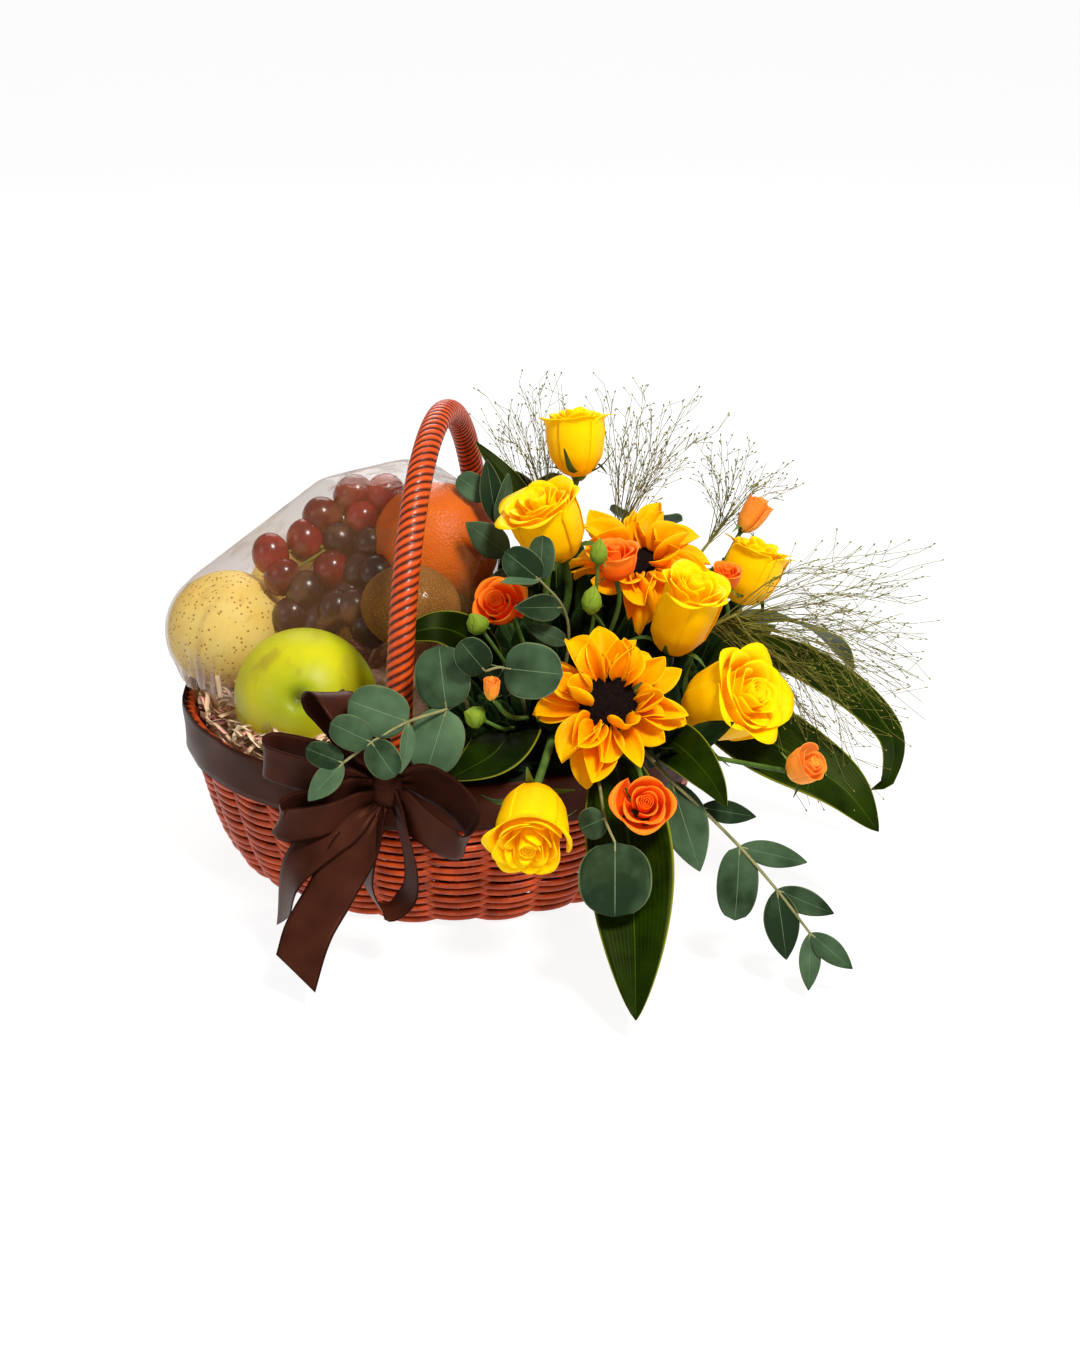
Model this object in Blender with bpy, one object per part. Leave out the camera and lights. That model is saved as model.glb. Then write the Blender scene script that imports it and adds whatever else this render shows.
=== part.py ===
"""Gift hamper: an oval wicker basket with a hooped cane handle and a satin ribbon.

The left half holds fruit under a clear film, the right half holds cut flowers and greens.
Lengths are metres, +Z is up, X is the long way of the basket and -Y is its front.
The origin is on the floor under the middle of the basket.
"""
import math
import random

import bmesh
import bpy
import numpy as np

# Basket
RIM_HALF_LENGTH = 0.147
RIM_HALF_WIDTH = 0.128
BASE_HALF_LENGTH = 0.112
BASE_HALF_WIDTH = 0.102
RIM_HEIGHT = 0.089
WALL_THICKNESS = 0.006
FLOOR_THICKNESS = 0.006
WALL_CURVE = 0.42
BASKET_SIDES = 36
INSIDE_HEIGHTS = (0.012, 0.028, 0.055, 0.087)
GAP = 0.0003
FILLING_INSET = WALL_THICKNESS + 0.0015
FILM_LIP = 0.001

# Handle
HANDLE_RADIUS = 0.007
HANDLE_RISE = 0.160
HANDLE_HALF_SPAN = 0.1135
HANDLE_FOOT_HEIGHT = 0.072

# Ribbon
RIBBON_WIDTH = 0.025
LOOP_WIDTH = 0.023
RIBBON_THICKNESS = 0.0012
BAND_BOTTOM = 0.0655
BAND_TOP = 0.0915
KNOT = np.array((0.000, -0.1415, 0.097))
KNOT_HALF_HEIGHT = 0.010
KNOT_PROFILE = ((0.0, 0.005), (0.005, 0.0085), (0.015, 0.0085), (0.020, 0.005))
LOOP_LIFT = np.array((0.0, 0.0, 0.003))
LOOP_START_STEP = np.array((0.0004, 0.0003, 0.0))
LOOP_END_STEP = np.array((-0.0003, 0.0005, 0.0))
TAIL_DROP = np.array((0.0, 0.0, -0.006))
TAIL_STEP = np.array((0.0, -0.0015, 0.0))

# Flower mound, in the right half of the basket
MOUND_LEFT = 0.0085
FILM_RIGHT = 0.0045
MOUND_CENTRE = (0.070, 0.0)
MOUND_REACH = (0.062, 0.100)
MOUND_EDGE_HEIGHT = 0.090
MOUND_RISE = 0.018
MOUND_TIERS = (1.0, 0.72, 0.40)

LEAF_THICKNESS = 0.0009
STEM_RADIUS = 0.0022

# Fruit under the film: middle and half sizes
FRUIT = (
    ((-0.1260, 0.002, 0.1180), (0.034, 0.034, 0.034)),
    ((-0.0660, -0.053, 0.1030), (0.039, 0.038, 0.036)),
    ((-0.0100, 0.030, 0.1660), (0.036, 0.034, 0.036)),
    ((-0.0120, -0.028, 0.1500), (0.028, 0.024, 0.023)),
    ((-0.0900, 0.018, 0.1620), (0.017, 0.014, 0.014)),
    ((-0.0660, 0.038, 0.1850), (0.020, 0.016, 0.014)),
    ((-0.0350, 0.066, 0.1660), (0.036, 0.034, 0.036)),
    ((-0.0950, 0.060, 0.1180), (0.036, 0.034, 0.036)),
    ((-0.0660, 0.000, 0.0500), (0.058, 0.078, 0.032)),
)
FILM_SLACK = 0.0015

TO_VIEWER = (0.15, -0.91, 0.38)
TO_BACK = (0.0, 0.65, 0.75)

# Bow loops and tails: points after the knot, and the way the ribbon's width runs at its start and end
BOW_LOOPS = (
    (((-0.009, -0.143, 0.119), (-0.022, -0.140, 0.139), (-0.034, -0.131, 0.143), (-0.038, -0.126, 0.131),
      (-0.020, -0.135, 0.111)), (0.90, -0.30, 0.30), (0.90, -0.35, 0.25)),
    (((-0.028, -0.140, 0.107), (-0.055, -0.141, 0.112), (-0.062, -0.146, 0.111), (-0.056, -0.151, 0.108),
      (-0.026, -0.152, 0.102)), (0.10, -0.20, 0.95), (0.10, -0.30, 0.95)),
    (((-0.024, -0.152, 0.092), (-0.045, -0.157, 0.087), (-0.051, -0.162, 0.085), (-0.045, -0.164, 0.082),
      (-0.022, -0.160, 0.087)), (0.25, -0.20, 0.90), (0.25, -0.30, 0.90)),
    (((0.023, -0.144, 0.101), (0.040, -0.150, 0.093), (0.047, -0.157, 0.085), (0.041, -0.165, 0.078),
      (0.021, -0.160, 0.086)), (0.35, -0.20, 0.85), (0.50, -0.40, 0.75)),
    (((0.009, -0.151, 0.082), (0.014, -0.152, 0.058), (0.012, -0.152, 0.041), (0.000, -0.153, 0.032),
      (-0.009, -0.154, 0.048), (-0.005, -0.154, 0.074)), (0.50, -0.85, 0.10), (0.50, -0.85, 0.10)),
)
BOW_TAILS = (
    (((-0.014, -0.154, 0.085), (-0.028, -0.158, 0.074), (-0.044, -0.165, 0.056), (-0.048, -0.172, 0.032)),
     (0.70, -0.25, -0.60), (0.40, -0.90, 0.00)),
    (((-0.010, -0.160, 0.074), (-0.023, -0.174, 0.050), (-0.031, -0.188, 0.035), (-0.035, -0.199, 0.018)),
     (0.85, -0.20, -0.35), (0.92, -0.25, -0.30)),
)

# Flowers: foot of the head, its top or facing, and its radius
ROSES = (
    ((0.0710, 0.030, 0.210), (0.0680, 0.038, 0.247), 0.0170, 1.12),
    ((0.0700, -0.0130, 0.178), (0.0560, -0.0230, 0.217), 0.0210, 1.05),
    ((0.1300, -0.030, 0.134), (0.1450, -0.037, 0.181), 0.0180, 0.95),
    ((0.1600, 0.052, 0.133), (0.1720, 0.062, 0.168), 0.0180, 1.15),
    ((0.1445, -0.0562, 0.1092), (0.1830, -0.0760, 0.1345), 0.0240, 1.00),
    ((0.0740, -0.1340, 0.0960), (0.0780, -0.1765, 0.0820), 0.0190, 1.00),
)
SUNFLOWERS = (
    ((0.1080, 0.020, 0.165), (0.02, -0.42, 0.90), 0.0130, 0.033, 20),
    ((0.1060, -0.095, 0.130), (0.02, -0.70, 0.72), 0.0150, 0.031, 22),
)
ORANGE_ROSES = (
    ((0.1010, -0.036, 0.176), (0.1000, -0.038, 0.196), 0.0125),
    ((0.0450, -0.052, 0.160), (0.0420, -0.066, 0.172), 0.0140),
    ((0.1300, -0.140, 0.093), (0.1330, -0.154, 0.105), 0.0150),
    ((0.1535, 0.021, 0.1535), (0.1555, 0.018, 0.167), 0.0085),
)
ORANGE_BUDS = (
    ((0.1570, 0.094, 0.162), (0.1690, 0.098, 0.182), 0.0085),
    ((0.2000, -0.092, 0.096), (0.2130, -0.100, 0.108), 0.0105),
    ((0.0505, -0.126, 0.141), (0.0515, -0.128, 0.154), 0.0045),
)
GREEN_BUDS = (
    ((0.0940, -0.054, 0.190), (0.0950, -0.054, 0.204), 0.0050),
    ((0.0925, -0.070, 0.169), (0.0945, -0.070, 0.184), 0.0055),
    ((0.0380, -0.080, 0.159), (0.0320, -0.082, 0.169), 0.0060),
    ((0.0460, -0.122, 0.128), (0.0370, -0.126, 0.133), 0.0060),
)

# Where stems leave their usual foot or way to pass their neighbours
FOOT_SHIFTS = {
    "rose_1": (-0.018, 0.006),
    "rose_2": (-0.012, -0.006),
    "rose_4": (0.0, 0.004),
    "orange_bud_1": (-0.004, 0.028),
    "orange_rose_4": (0.016, 0.004),
    "green_bud_1": (-0.006, -0.004),
    "orange_bud_3": (0.004, 0.011),
    "green_bud_2": (0.012, 0.006),
    "green_bud_4": (-0.008, 0.0),
}
STEM_WAYS = {
    "rose_1": (0.055, 0.030, 0.160),
    "rose_2": (0.070, 0.000, 0.150),
    "rose_6": (0.077, -0.104, 0.108),
    "orange_rose_3": (0.122, -0.110, 0.104),
    "orange_rose_4": (0.154, 0.021, 0.128),
    "orange_bud_1": (0.140, 0.092, 0.130),
    "orange_bud_2": (0.140, -0.074, 0.0965),
    "orange_bud_3": (0.0585, -0.112, 0.126),
    "green_bud_1": (0.090, -0.050, 0.150),
    "green_bud_2": (0.098, -0.046, 0.145),
    "green_bud_4": (0.055, -0.116, 0.121),
}

# Leaves: points along the midrib, width and facing
LONG_LEAVES = (
    (((0.106, -0.078, 0.0975), (0.113, -0.106, 0.092), (0.124, -0.144, 0.072),
      (0.131, -0.178, 0.046), (0.136, -0.208, 0.014)), 0.044, (-0.05, -0.75, 0.50)),
    (((0.128, -0.016, 0.100), (0.150, -0.026, 0.1015), (0.196, -0.048, 0.088),
      (0.226, -0.058, 0.074), (0.246, -0.066, 0.054)), 0.042, (-0.12, -0.50, 0.86)),
    (((0.128, 0.024, 0.096), (0.172, 0.022, 0.117), (0.215, 0.012, 0.106),
      (0.248, 0.002, 0.082), (0.250, 0.002, 0.054), (0.241, 0.006, 0.044)), 0.026,
     (0.35, -0.50, 0.80)),
    (((0.056, -0.078, 0.101), (0.056, -0.104, 0.112), (0.050, -0.124, 0.109),
      (0.031, -0.136, 0.100)), 0.034, (-0.10, -0.55, 0.85)),
    (((0.035, -0.040, 0.100), (0.030, -0.058, 0.140), (0.014, -0.072, 0.156),
      (-0.010, -0.080, 0.152)), 0.024, (0.05, -0.75, 0.65)),
    (((0.052, 0.040, 0.105), (0.048, 0.034, 0.160), (0.034, 0.040, 0.196),
      (0.010, 0.048, 0.222)), 0.020, (0.55, -0.70, 0.45)),
    (((0.126, -0.064, 0.100), (0.144, -0.100, 0.110), (0.160, -0.116, 0.102),
      (0.170, -0.125, 0.091)), 0.024, (-0.20, -0.75, 0.60)),
    (((0.100, 0.070, 0.098), (0.120, 0.110, 0.126), (0.132, 0.146, 0.112),
      (0.138, 0.176, 0.076)), 0.040, (0.05, 0.55, 0.85)),
    (((0.055, 0.075, 0.098), (0.050, 0.112, 0.122), (0.040, 0.148, 0.106),
      (0.030, 0.172, 0.070)), 0.038, (-0.10, 0.60, 0.80)),
    (((0.125, 0.045, 0.096), (0.170, 0.080, 0.112), (0.206, 0.108, 0.096),
      (0.226, 0.128, 0.066)), 0.038, (0.30, 0.40, 0.85)),
)

# Round-leaved branches: stem points, then each leaf's stem point, tip, width and facing
EUCALYPTUS = (
    (((0.030, -0.080, 0.099), (0.034, -0.106, 0.130), (0.028, -0.126, 0.134),
      (0.012, -0.142, 0.133), (-0.004, -0.154, 0.126), (-0.017, -0.161, 0.117)),
     ((3, (-0.016, -0.150, 0.146), 0.025, TO_VIEWER),
      (4, (0.009, -0.160, 0.111), 0.017, TO_VIEWER),
      (4, (-0.022, -0.163, 0.139), 0.017, TO_VIEWER),
      (3, (0.010, -0.154, 0.110), 0.010, (0.8, -0.6, 0.1)),
      (2, (0.020, -0.140, 0.104), 0.028, TO_VIEWER),
      (2, (0.023, -0.118, 0.165), 0.028, TO_VIEWER),
      (5, (-0.034, -0.166, 0.126), 0.013, TO_VIEWER),
      (5, (-0.032, -0.1735, 0.101), 0.013, TO_VIEWER))),
    (((0.060, -0.070, 0.105), (0.060, -0.098, 0.136), (0.056, -0.118, 0.155),
      (0.047, -0.121, 0.154)),
     ((2, (0.087, -0.126, 0.157), 0.028, TO_VIEWER),
      (3, (0.036, -0.128, 0.172), 0.018, TO_VIEWER),
      (2, (0.047, -0.104, 0.138), 0.020, TO_VIEWER))),
    (((0.048, 0.002, 0.108), (0.044, 0.006, 0.150), (0.036, 0.008, 0.170),
      (0.028, 0.013, 0.186), (0.022, 0.021, 0.198)),
     ((2, (0.015, -0.008, 0.193), 0.018, TO_VIEWER),
      (1, (0.031, -0.014, 0.166), 0.016, TO_VIEWER),
      (3, (0.021, 0.022, 0.220), 0.013, TO_VIEWER),
      (3, (0.034, 0.018, 0.214), 0.010, (0.6, -0.7, 0.3)),
      (4, (0.004, 0.026, 0.208), 0.015, TO_VIEWER),
      (1, (0.036, -0.012, 0.140), 0.018, TO_VIEWER))),
    (((0.072, -0.046, 0.108), (0.080, -0.062, 0.148), (0.078, -0.068, 0.170),
      (0.067, -0.075, 0.187)),
     ((3, (0.050, -0.080, 0.203), 0.018, TO_VIEWER),
      (3, (0.067, -0.066, 0.208), 0.014, TO_VIEWER),
      (3, (0.049, -0.087, 0.189), 0.008, (0.1, -0.5, 0.9)),
      (2, (0.056, -0.088, 0.176), 0.014, TO_VIEWER),
      (1, (0.060, -0.078, 0.163), 0.010, TO_VIEWER))),
    (((0.118, -0.076, 0.1005), (0.140, -0.108, 0.095), (0.156, -0.116, 0.085),
      (0.177, -0.123, 0.068), (0.197, -0.132, 0.050), (0.215, -0.143, 0.033)),
     ((1, (0.158, -0.130, 0.056), 0.024, TO_VIEWER),
      (2, (0.184, -0.112, 0.080), 0.012, TO_VIEWER),
      (3, (0.177, -0.136, 0.033), 0.021, TO_VIEWER),
      (3, (0.211, -0.119, 0.060), 0.013, TO_VIEWER),
      (4, (0.204, -0.145, 0.018), 0.018, TO_VIEWER),
      (4, (0.226, -0.130, 0.038), 0.013, TO_VIEWER),
      (5, (0.216, -0.151, 0.005), 0.011, TO_VIEWER),
      (5, (0.237, -0.147, 0.017), 0.012, TO_VIEWER))),
    (((0.092, -0.078, 0.100), (0.104, -0.116, 0.0955), (0.112, -0.150, 0.092),
      (0.119, -0.164, 0.086)),
     ((3, (0.122, -0.184, 0.056), 0.036, TO_VIEWER),
      (2, (0.100, -0.152, 0.086), 0.016, TO_VIEWER))),
    (((0.080, 0.060, 0.104), (0.086, 0.098, 0.138), (0.094, 0.130, 0.146),
      (0.099, 0.152, 0.140)),
     ((1, (0.066, 0.106, 0.156), 0.026, TO_BACK),
      (1, (0.112, 0.112, 0.156), 0.026, TO_BACK),
      (2, (0.074, 0.140, 0.156), 0.024, TO_BACK),
      (2, (0.118, 0.144, 0.150), 0.024, TO_BACK),
      (3, (0.106, 0.178, 0.134), 0.022, TO_BACK))),
    (((0.040, 0.050, 0.100), (0.036, 0.078, 0.148), (0.034, 0.092, 0.168)),
     ((1, (0.018, 0.094, 0.158), 0.024, TO_BACK),
      (1, (0.058, 0.092, 0.160), 0.024, TO_BACK),
      (2, (0.020, 0.096, 0.190), 0.022, TO_BACK),
      (2, (0.050, 0.098, 0.190), 0.020, TO_BACK))),
)

# Grass plumes: foot, top of the stalk, heading, spread, length, droop and branches
GRASSES = (
    ((0.060, 0.045, 0.111), (0.047, 0.076, 0.176), (-0.30, 0.12, 0.95), 0.42, 0.074, 0.0, 7),
    ((0.078, 0.040, 0.112), (0.092, 0.066, 0.178), (0.30, 0.10, 0.95), 0.60, 0.076, 0.0, 8),
    ((0.100, 0.052, 0.107), (0.148, 0.106, 0.165), (0.25, 0.05, 0.95), 0.90, 0.046, 0.0, 6),
    ((0.112, 0.020, 0.108), (0.163, -0.008, 0.149), (0.95, -0.20, 0.00), 0.72, 0.116, 0.06, 11),
)

random_numbers = random.Random(7)


def unit(vector):
    vector = np.asarray(vector, dtype=float)
    return vector / np.linalg.norm(vector)


def smooth_line(points, count):
    """Catmull-Rom curve through the points, read at evenly spaced places along it."""
    points = [np.asarray(point, dtype=float) for point in points]
    if len(points) == 2:
        points.insert(1, (points[0] + points[1]) / 2)
    ends = [2 * points[0] - points[1]] + points + [2 * points[-1] - points[-2]]
    dense = []
    for i in range(len(points) - 1):
        before, start, end, after = ends[i:i + 4]
        for t in np.linspace(0, 1, 16, endpoint=False):
            bend = (2 * before - 5 * start + 4 * end - after) * t * t
            twist = (3 * start - before - 3 * end + after) * t ** 3
            dense.append(0.5 * (2 * start + (end - before) * t + bend + twist))
    dense.append(points[-1])
    dense = np.array(dense)
    steps = np.linalg.norm(np.diff(dense, axis=0), axis=1)
    travelled = np.concatenate([[0], np.cumsum(steps)])
    wanted = np.linspace(0, travelled[-1], count)
    return np.column_stack([np.interp(wanted, travelled, dense[:, axis]) for axis in range(3)])


def tangents(line):
    ahead = np.vstack([line[1:], line[-1:]])
    behind = np.vstack([line[:1], line[:-1]])
    return [unit(step) for step in ahead - behind]


def joined_rings(rings):
    """Closed solid through a stack of rings, each end closed to its own middle."""
    sides = len(rings[0])
    verts = [tuple(point) for ring in rings for point in ring]
    faces = []
    for i in range(len(rings) - 1):
        for j in range(sides):
            k = (j + 1) % sides
            low, high = i * sides, (i + 1) * sides
            faces.append((low + j, low + k, high + k, high + j))
    for ring_number, backwards in ((0, True), (len(rings) - 1, False)):
        verts.append(tuple(np.mean(rings[ring_number], axis=0)))
        middle = len(verts) - 1
        start = ring_number * sides
        for j in range(sides):
            edge = (start + j, start + (j + 1) % sides)
            faces.append((middle,) + (edge[::-1] if backwards else edge))
    return verts, faces


def around(columns):
    """Closed ring whose section at each place runs through the columns' points."""
    places = len(columns[0])
    steps = len(columns)
    verts = [tuple(column[i]) for i in range(places) for column in columns]
    faces = []
    for i in range(places):
        here, there = steps * i, steps * ((i + 1) % places)
        for j in range(steps):
            k = (j + 1) % steps
            faces.append((here + j, there + j, there + k, here + k))
    return verts, faces


def tube(points, radii, sides=6, count=6):
    """Round rod along a smooth line, with a radius at each end."""
    line = smooth_line(points, count)
    rings = []
    side = unit(np.cross(tangents(line)[0], (0.31, 0.87, 0.38)))
    for i, (centre, along) in enumerate(zip(line, tangents(line))):
        side = unit(side - along * np.dot(side, along))
        other = np.cross(along, side)
        radius = radii[0] + (radii[1] - radii[0]) * i / (count - 1)
        angles = np.arange(sides) * 2 * math.pi / sides
        rings.append([centre + radius * (math.cos(a) * side + math.sin(a) * other) for a in angles])
    return joined_rings(rings)


def turned(base, axis, profile, sides=12, lobe=0.0, lobes=3):
    """Body turned about an axis through (height, radius) steps, with a lobed edge."""
    axis = unit(axis)
    side = unit(np.cross(axis, (0.2, 0.9, 0.35)))
    other = np.cross(axis, side)
    rings = []
    for i, (height, radius) in enumerate(profile):
        ring = []
        for j in range(sides):
            angle = 2 * math.pi * j / sides
            reach = radius * (1 + lobe * math.cos(lobes * angle + 0.9 * i))
            ring.append(np.asarray(base) + axis * height
                        + reach * (math.cos(angle) * side + math.sin(angle) * other))
        rings.append(ring)
    return joined_rings(rings)


def blade(points, width, facing, outline, rows=4, halves=2, fold=0.15, thickness=LEAF_THICKNESS):
    """Thin closed blade along a smooth line, folded at its midrib, its faces split alike."""
    line = smooth_line(points, rows + 1)
    columns = np.linspace(-1, 1, halves + 1)
    top, bottom = [], []
    for i, (centre, along) in enumerate(zip(line, tangents(line))):
        across = unit(np.cross(along, facing))
        normal = np.cross(across, along)
        half = max(width * outline(i / rows) / 2, thickness)
        for u in columns:
            point = centre + half * (across * u + normal * abs(u) * fold)
            top.append(tuple(point + normal * thickness / 2))
            bottom.append(tuple(point - normal * thickness / 2))
    under = len(top)
    stride = halves + 1
    faces = []

    def quad(a, b, c, d):
        faces.append((a, b, c))
        faces.append((a, c, d))

    for i in range(rows):
        first, last = stride * i, stride * i + halves
        for j in range(halves):
            a, b, c, d = first + j, first + j + 1, first + stride + j + 1, first + stride + j
            quad(a, b, c, d)
            faces.append((under + a, under + c, under + b))
            faces.append((under + a, under + d, under + c))
        quad(first, first + stride, under + first + stride, under + first)
        quad(last, under + last, under + last + stride, last + stride)
    for j in range(halves):
        end = stride * rows + j
        quad(j, under + j, under + j + 1, j + 1)
        quad(end, end + 1, under + end + 1, under + end)
    return top + bottom, faces


def star(centre, axis, foot_radius, reach, points, rise, turn=0.0, jitter=0.0, thickness=0.0012):
    """Thin cup cut into pointed lobes: a row of petals or a set of sepals."""
    axis = unit(axis)
    side = unit(np.cross(axis, (0.2, 0.9, 0.35)))
    other = np.cross(axis, side)
    top, bottom = [], []
    for share, notch, lift in ((0.0, 1.0, 0.0), (0.45, 0.90, 0.50), (1.0, 0.42, 1.0)):
        for j in range(2 * points):
            angle = math.pi * j / points + turn
            out = math.cos(angle) * side + math.sin(angle) * other
            in_gap = j % 2 == 1
            spread = reach * share * (notch if in_gap else 1.0)
            if share == 1.0 and not in_gap:
                spread *= 1.0 + jitter * random_numbers.uniform(-1, 1)
            height = rise * reach * lift * (0.4 if in_gap and share == 1.0 else 1.0)
            point = np.asarray(centre) + out * (foot_radius + spread) + axis * height
            top.append(tuple(point + axis * thickness / 2))
            bottom.append(tuple(point - axis * thickness / 2))
    ring = 2 * points
    under = len(top)
    faces = []

    def quad(a, b, c, d):
        faces.append((a, b, c))
        faces.append((a, c, d))

    for i in range(2):
        for j in range(ring):
            k = (j + 1) % ring
            a, b, c, d = ring * i + j, ring * i + k, ring * (i + 1) + k, ring * (i + 1) + j
            quad(a, b, c, d)
            faces.append((under + a, under + c, under + b))
            faces.append((under + a, under + d, under + c))
    for j in range(ring):
        k = (j + 1) % ring
        quad(j, under + j, under + k, k)
        quad(2 * ring + j, 2 * ring + k, under + 2 * ring + k, under + 2 * ring + j)
    return top + bottom, faces


def strip(points, width, across, gathered, rows):
    """Ribbon along a smooth line, turning from one way across to the other, gathered at the knot."""
    first, last = (unit(way) for way in across)
    line = smooth_line(points, rows + 1)
    rings = []
    for i, (centre, along) in enumerate(zip(line, tangents(line))):
        from_knot = min(i, rows - i) if gathered == "both" else i
        share = min(1.0, 0.25 + 0.45 * from_knot)
        way = first + (last - first) * i / rows
        crosswise = unit(way - along * np.dot(way, along))
        normal = np.cross(along, crosswise)
        wide, thick = crosswise * width * share / 2, normal * RIBBON_THICKNESS / 2
        rings.append([centre - wide - thick, centre + wide - thick,
                      centre + wide + thick, centre - wide + thick])
    return joined_rings(rings)


def round_outline(s):
    return 0.16 + 0.18 * s + 0.72 * math.sin(math.pi * s)


def lance_outline(s):
    return max(math.sin(math.pi * s ** 0.92), 0.0)


def material(name, colour, roughness=0.6):
    made = bpy.data.materials.new(name)
    made.use_nodes = True
    shader = made.node_tree.nodes["Principled BSDF"]
    shader.inputs["Base Color"].default_value = (*colour, 1.0)
    shader.inputs["Roughness"].default_value = roughness
    shader.inputs["Metallic"].default_value = 0.0
    return made


def closed_mesh(name, shape):
    """Mesh of one closed shape, its faces turned outwards."""
    verts, faces = shape
    mesh = bpy.data.meshes.new(name)
    mesh.from_pydata(verts, [], faces)
    work = bmesh.new()
    work.from_mesh(mesh)
    bmesh.ops.recalc_face_normals(work, faces=work.faces)
    work.to_mesh(mesh)
    work.free()
    return mesh


def add_object(name, mesh, colour, roughness):
    mesh.materials.clear()
    mesh.materials.append(material(name, colour, roughness))
    mesh.shade_smooth()
    mesh.set_sharp_from_angle(angle=math.radians(50))
    made = bpy.data.objects.new(name, mesh)
    bpy.context.scene.collection.objects.link(made)
    return made


def evaluated_copy(source, name):
    """The object's mesh with its modifiers applied."""
    bpy.context.view_layer.update()
    shown = source.evaluated_get(bpy.context.evaluated_depsgraph_get())
    mesh = bpy.data.meshes.new_from_object(shown)
    mesh.name = name
    return mesh


def keep_largest_body(mesh):
    """Drops loose scraps and fills sealed hollows that joining leaves behind."""
    work = bmesh.new()
    work.from_mesh(mesh)
    waiting = set(work.verts)
    bodies = []
    while waiting:
        body, edge_of_body = set(), [waiting.pop()]
        while edge_of_body:
            vert = edge_of_body.pop()
            body.add(vert)
            near = [edge.other_vert(vert) for edge in vert.link_edges]
            edge_of_body += [item for item in near if item in waiting]
            waiting.difference_update(near)
        bodies.append(body)
    largest = max(bodies, key=len)
    spare = [vert for vert in work.verts if vert not in largest]
    bmesh.ops.delete(work, geom=spare, context="VERTS")
    work.to_mesh(mesh)
    work.free()


def solid(name, shape, colour, roughness=0.6):
    return add_object(name, closed_mesh(name, shape), colour, roughness)


def fused(name, shapes, colour, roughness=0.6):
    """One solid joined from many shapes. The manifold solver joins dozens of thin ones fast."""
    first = bpy.data.objects.new(name + "_first", closed_mesh(name + "_first", shapes[0]))
    bpy.context.scene.collection.objects.link(first)
    others = bpy.data.collections.new(name + "_others")
    bpy.context.scene.collection.children.link(others)
    for i, shape in enumerate(shapes[1:]):
        other = bpy.data.objects.new(f"{name}_{i}", closed_mesh(f"{name}_{i}", shape))
        others.objects.link(other)
    union = first.modifiers.new("Union", "BOOLEAN")
    union.operation = "UNION"
    union.operand_type = "COLLECTION"
    union.collection = others
    union.solver = "MANIFOLD"
    mesh = evaluated_copy(first, name)
    keep_largest_body(mesh)
    for other in list(others.objects):
        bpy.data.objects.remove(other)
    bpy.data.collections.remove(others)
    bpy.data.objects.remove(first)
    return add_object(name, mesh, colour, roughness)


# Basket, handle and ribbon

def oval(half_length, half_width, height, sides=BASKET_SIDES):
    angles = np.arange(sides) * 2 * math.pi / sides
    return [np.array((half_length * math.cos(a), half_width * math.sin(a), height)) for a in angles]


def wall_half_sizes(height):
    """The wall's half length and half width: rounded at the bottom, near upright at the rim."""
    share = (max(height, 0.0) / RIM_HEIGHT) ** WALL_CURVE
    return (BASE_HALF_LENGTH + (RIM_HALF_LENGTH - BASE_HALF_LENGTH) * share,
            BASE_HALF_WIDTH + (RIM_HALF_WIDTH - BASE_HALF_WIDTH) * share)


def wall_ring(height, inset=0.0):
    half_length, half_width = wall_half_sizes(height)
    return oval(half_length - inset, half_width - inset, height)


def build_basket():
    outside = [wall_ring(height) for height in (0.0, 0.003, 0.012, 0.028, 0.055)]
    rim = [wall_ring(RIM_HEIGHT - 0.002), wall_ring(RIM_HEIGHT, inset=0.002)]
    inside = [wall_ring(height, inset=WALL_THICKNESS) for height in reversed(INSIDE_HEIGHTS)]
    floor = [oval(BASE_HALF_LENGTH - 0.004, BASE_HALF_WIDTH - 0.004, FLOOR_THICKNESS)]
    rings = outside + rim + inside + floor
    solid("basket", joined_rings(rings), (0.42, 0.10, 0.04), 0.45)


def build_handle():
    """Hoop across the basket, both feet down inside the wall."""
    rise = [(0.0, -HANDLE_HALF_SPAN * math.cos(a), RIM_HEIGHT + HANDLE_RISE * math.sin(a))
            for a in np.linspace(0, math.pi, 13)]
    feet = [(0.0, side * (HANDLE_HALF_SPAN - 0.0025), HANDLE_FOOT_HEIGHT) for side in (-1, 1)]
    route = [feet[0]] + rise + [feet[1]]
    solid("handle", tube(route, (HANDLE_RADIUS, HANDLE_RADIUS), sides=8, count=21),
          (0.60, 0.13, 0.04), 0.4)


def build_band():
    """Ribbon wound once round the rim."""
    inner = (RIM_HALF_LENGTH + GAP, RIM_HALF_WIDTH + GAP)
    outer = (inner[0] + RIBBON_THICKNESS, inner[1] + RIBBON_THICKNESS)
    columns = [oval(*inner, BAND_BOTTOM), oval(*outer, BAND_BOTTOM),
               oval(*outer, BAND_TOP), oval(*inner, BAND_TOP)]
    solid("ribbon_band", around(columns), (0.045, 0.018, 0.015), 0.35)


def build_bow():
    """Bow on the front foot of the handle: loops, hanging loops, two tails and the knot."""
    shapes = [turned(KNOT - (0, 0, KNOT_HALF_HEIGHT), (0, 0, 1), KNOT_PROFILE, sides=8)]
    for i, (points, *across) in enumerate(BOW_LOOPS):
        start = KNOT + LOOP_LIFT + LOOP_START_STEP * i
        end = KNOT - LOOP_LIFT + LOOP_END_STEP * i
        shapes.append(strip((start,) + points + (end,), LOOP_WIDTH, across, "both", 6))
    for i, (points, *across) in enumerate(BOW_TAILS):
        start = KNOT + TAIL_DROP + TAIL_STEP * i
        shapes.append(strip((start,) + points, RIBBON_WIDTH, across, "start", 5))
    fused("ribbon_bow", shapes, (0.045, 0.018, 0.015), 0.35)


# Fruit under film

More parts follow.
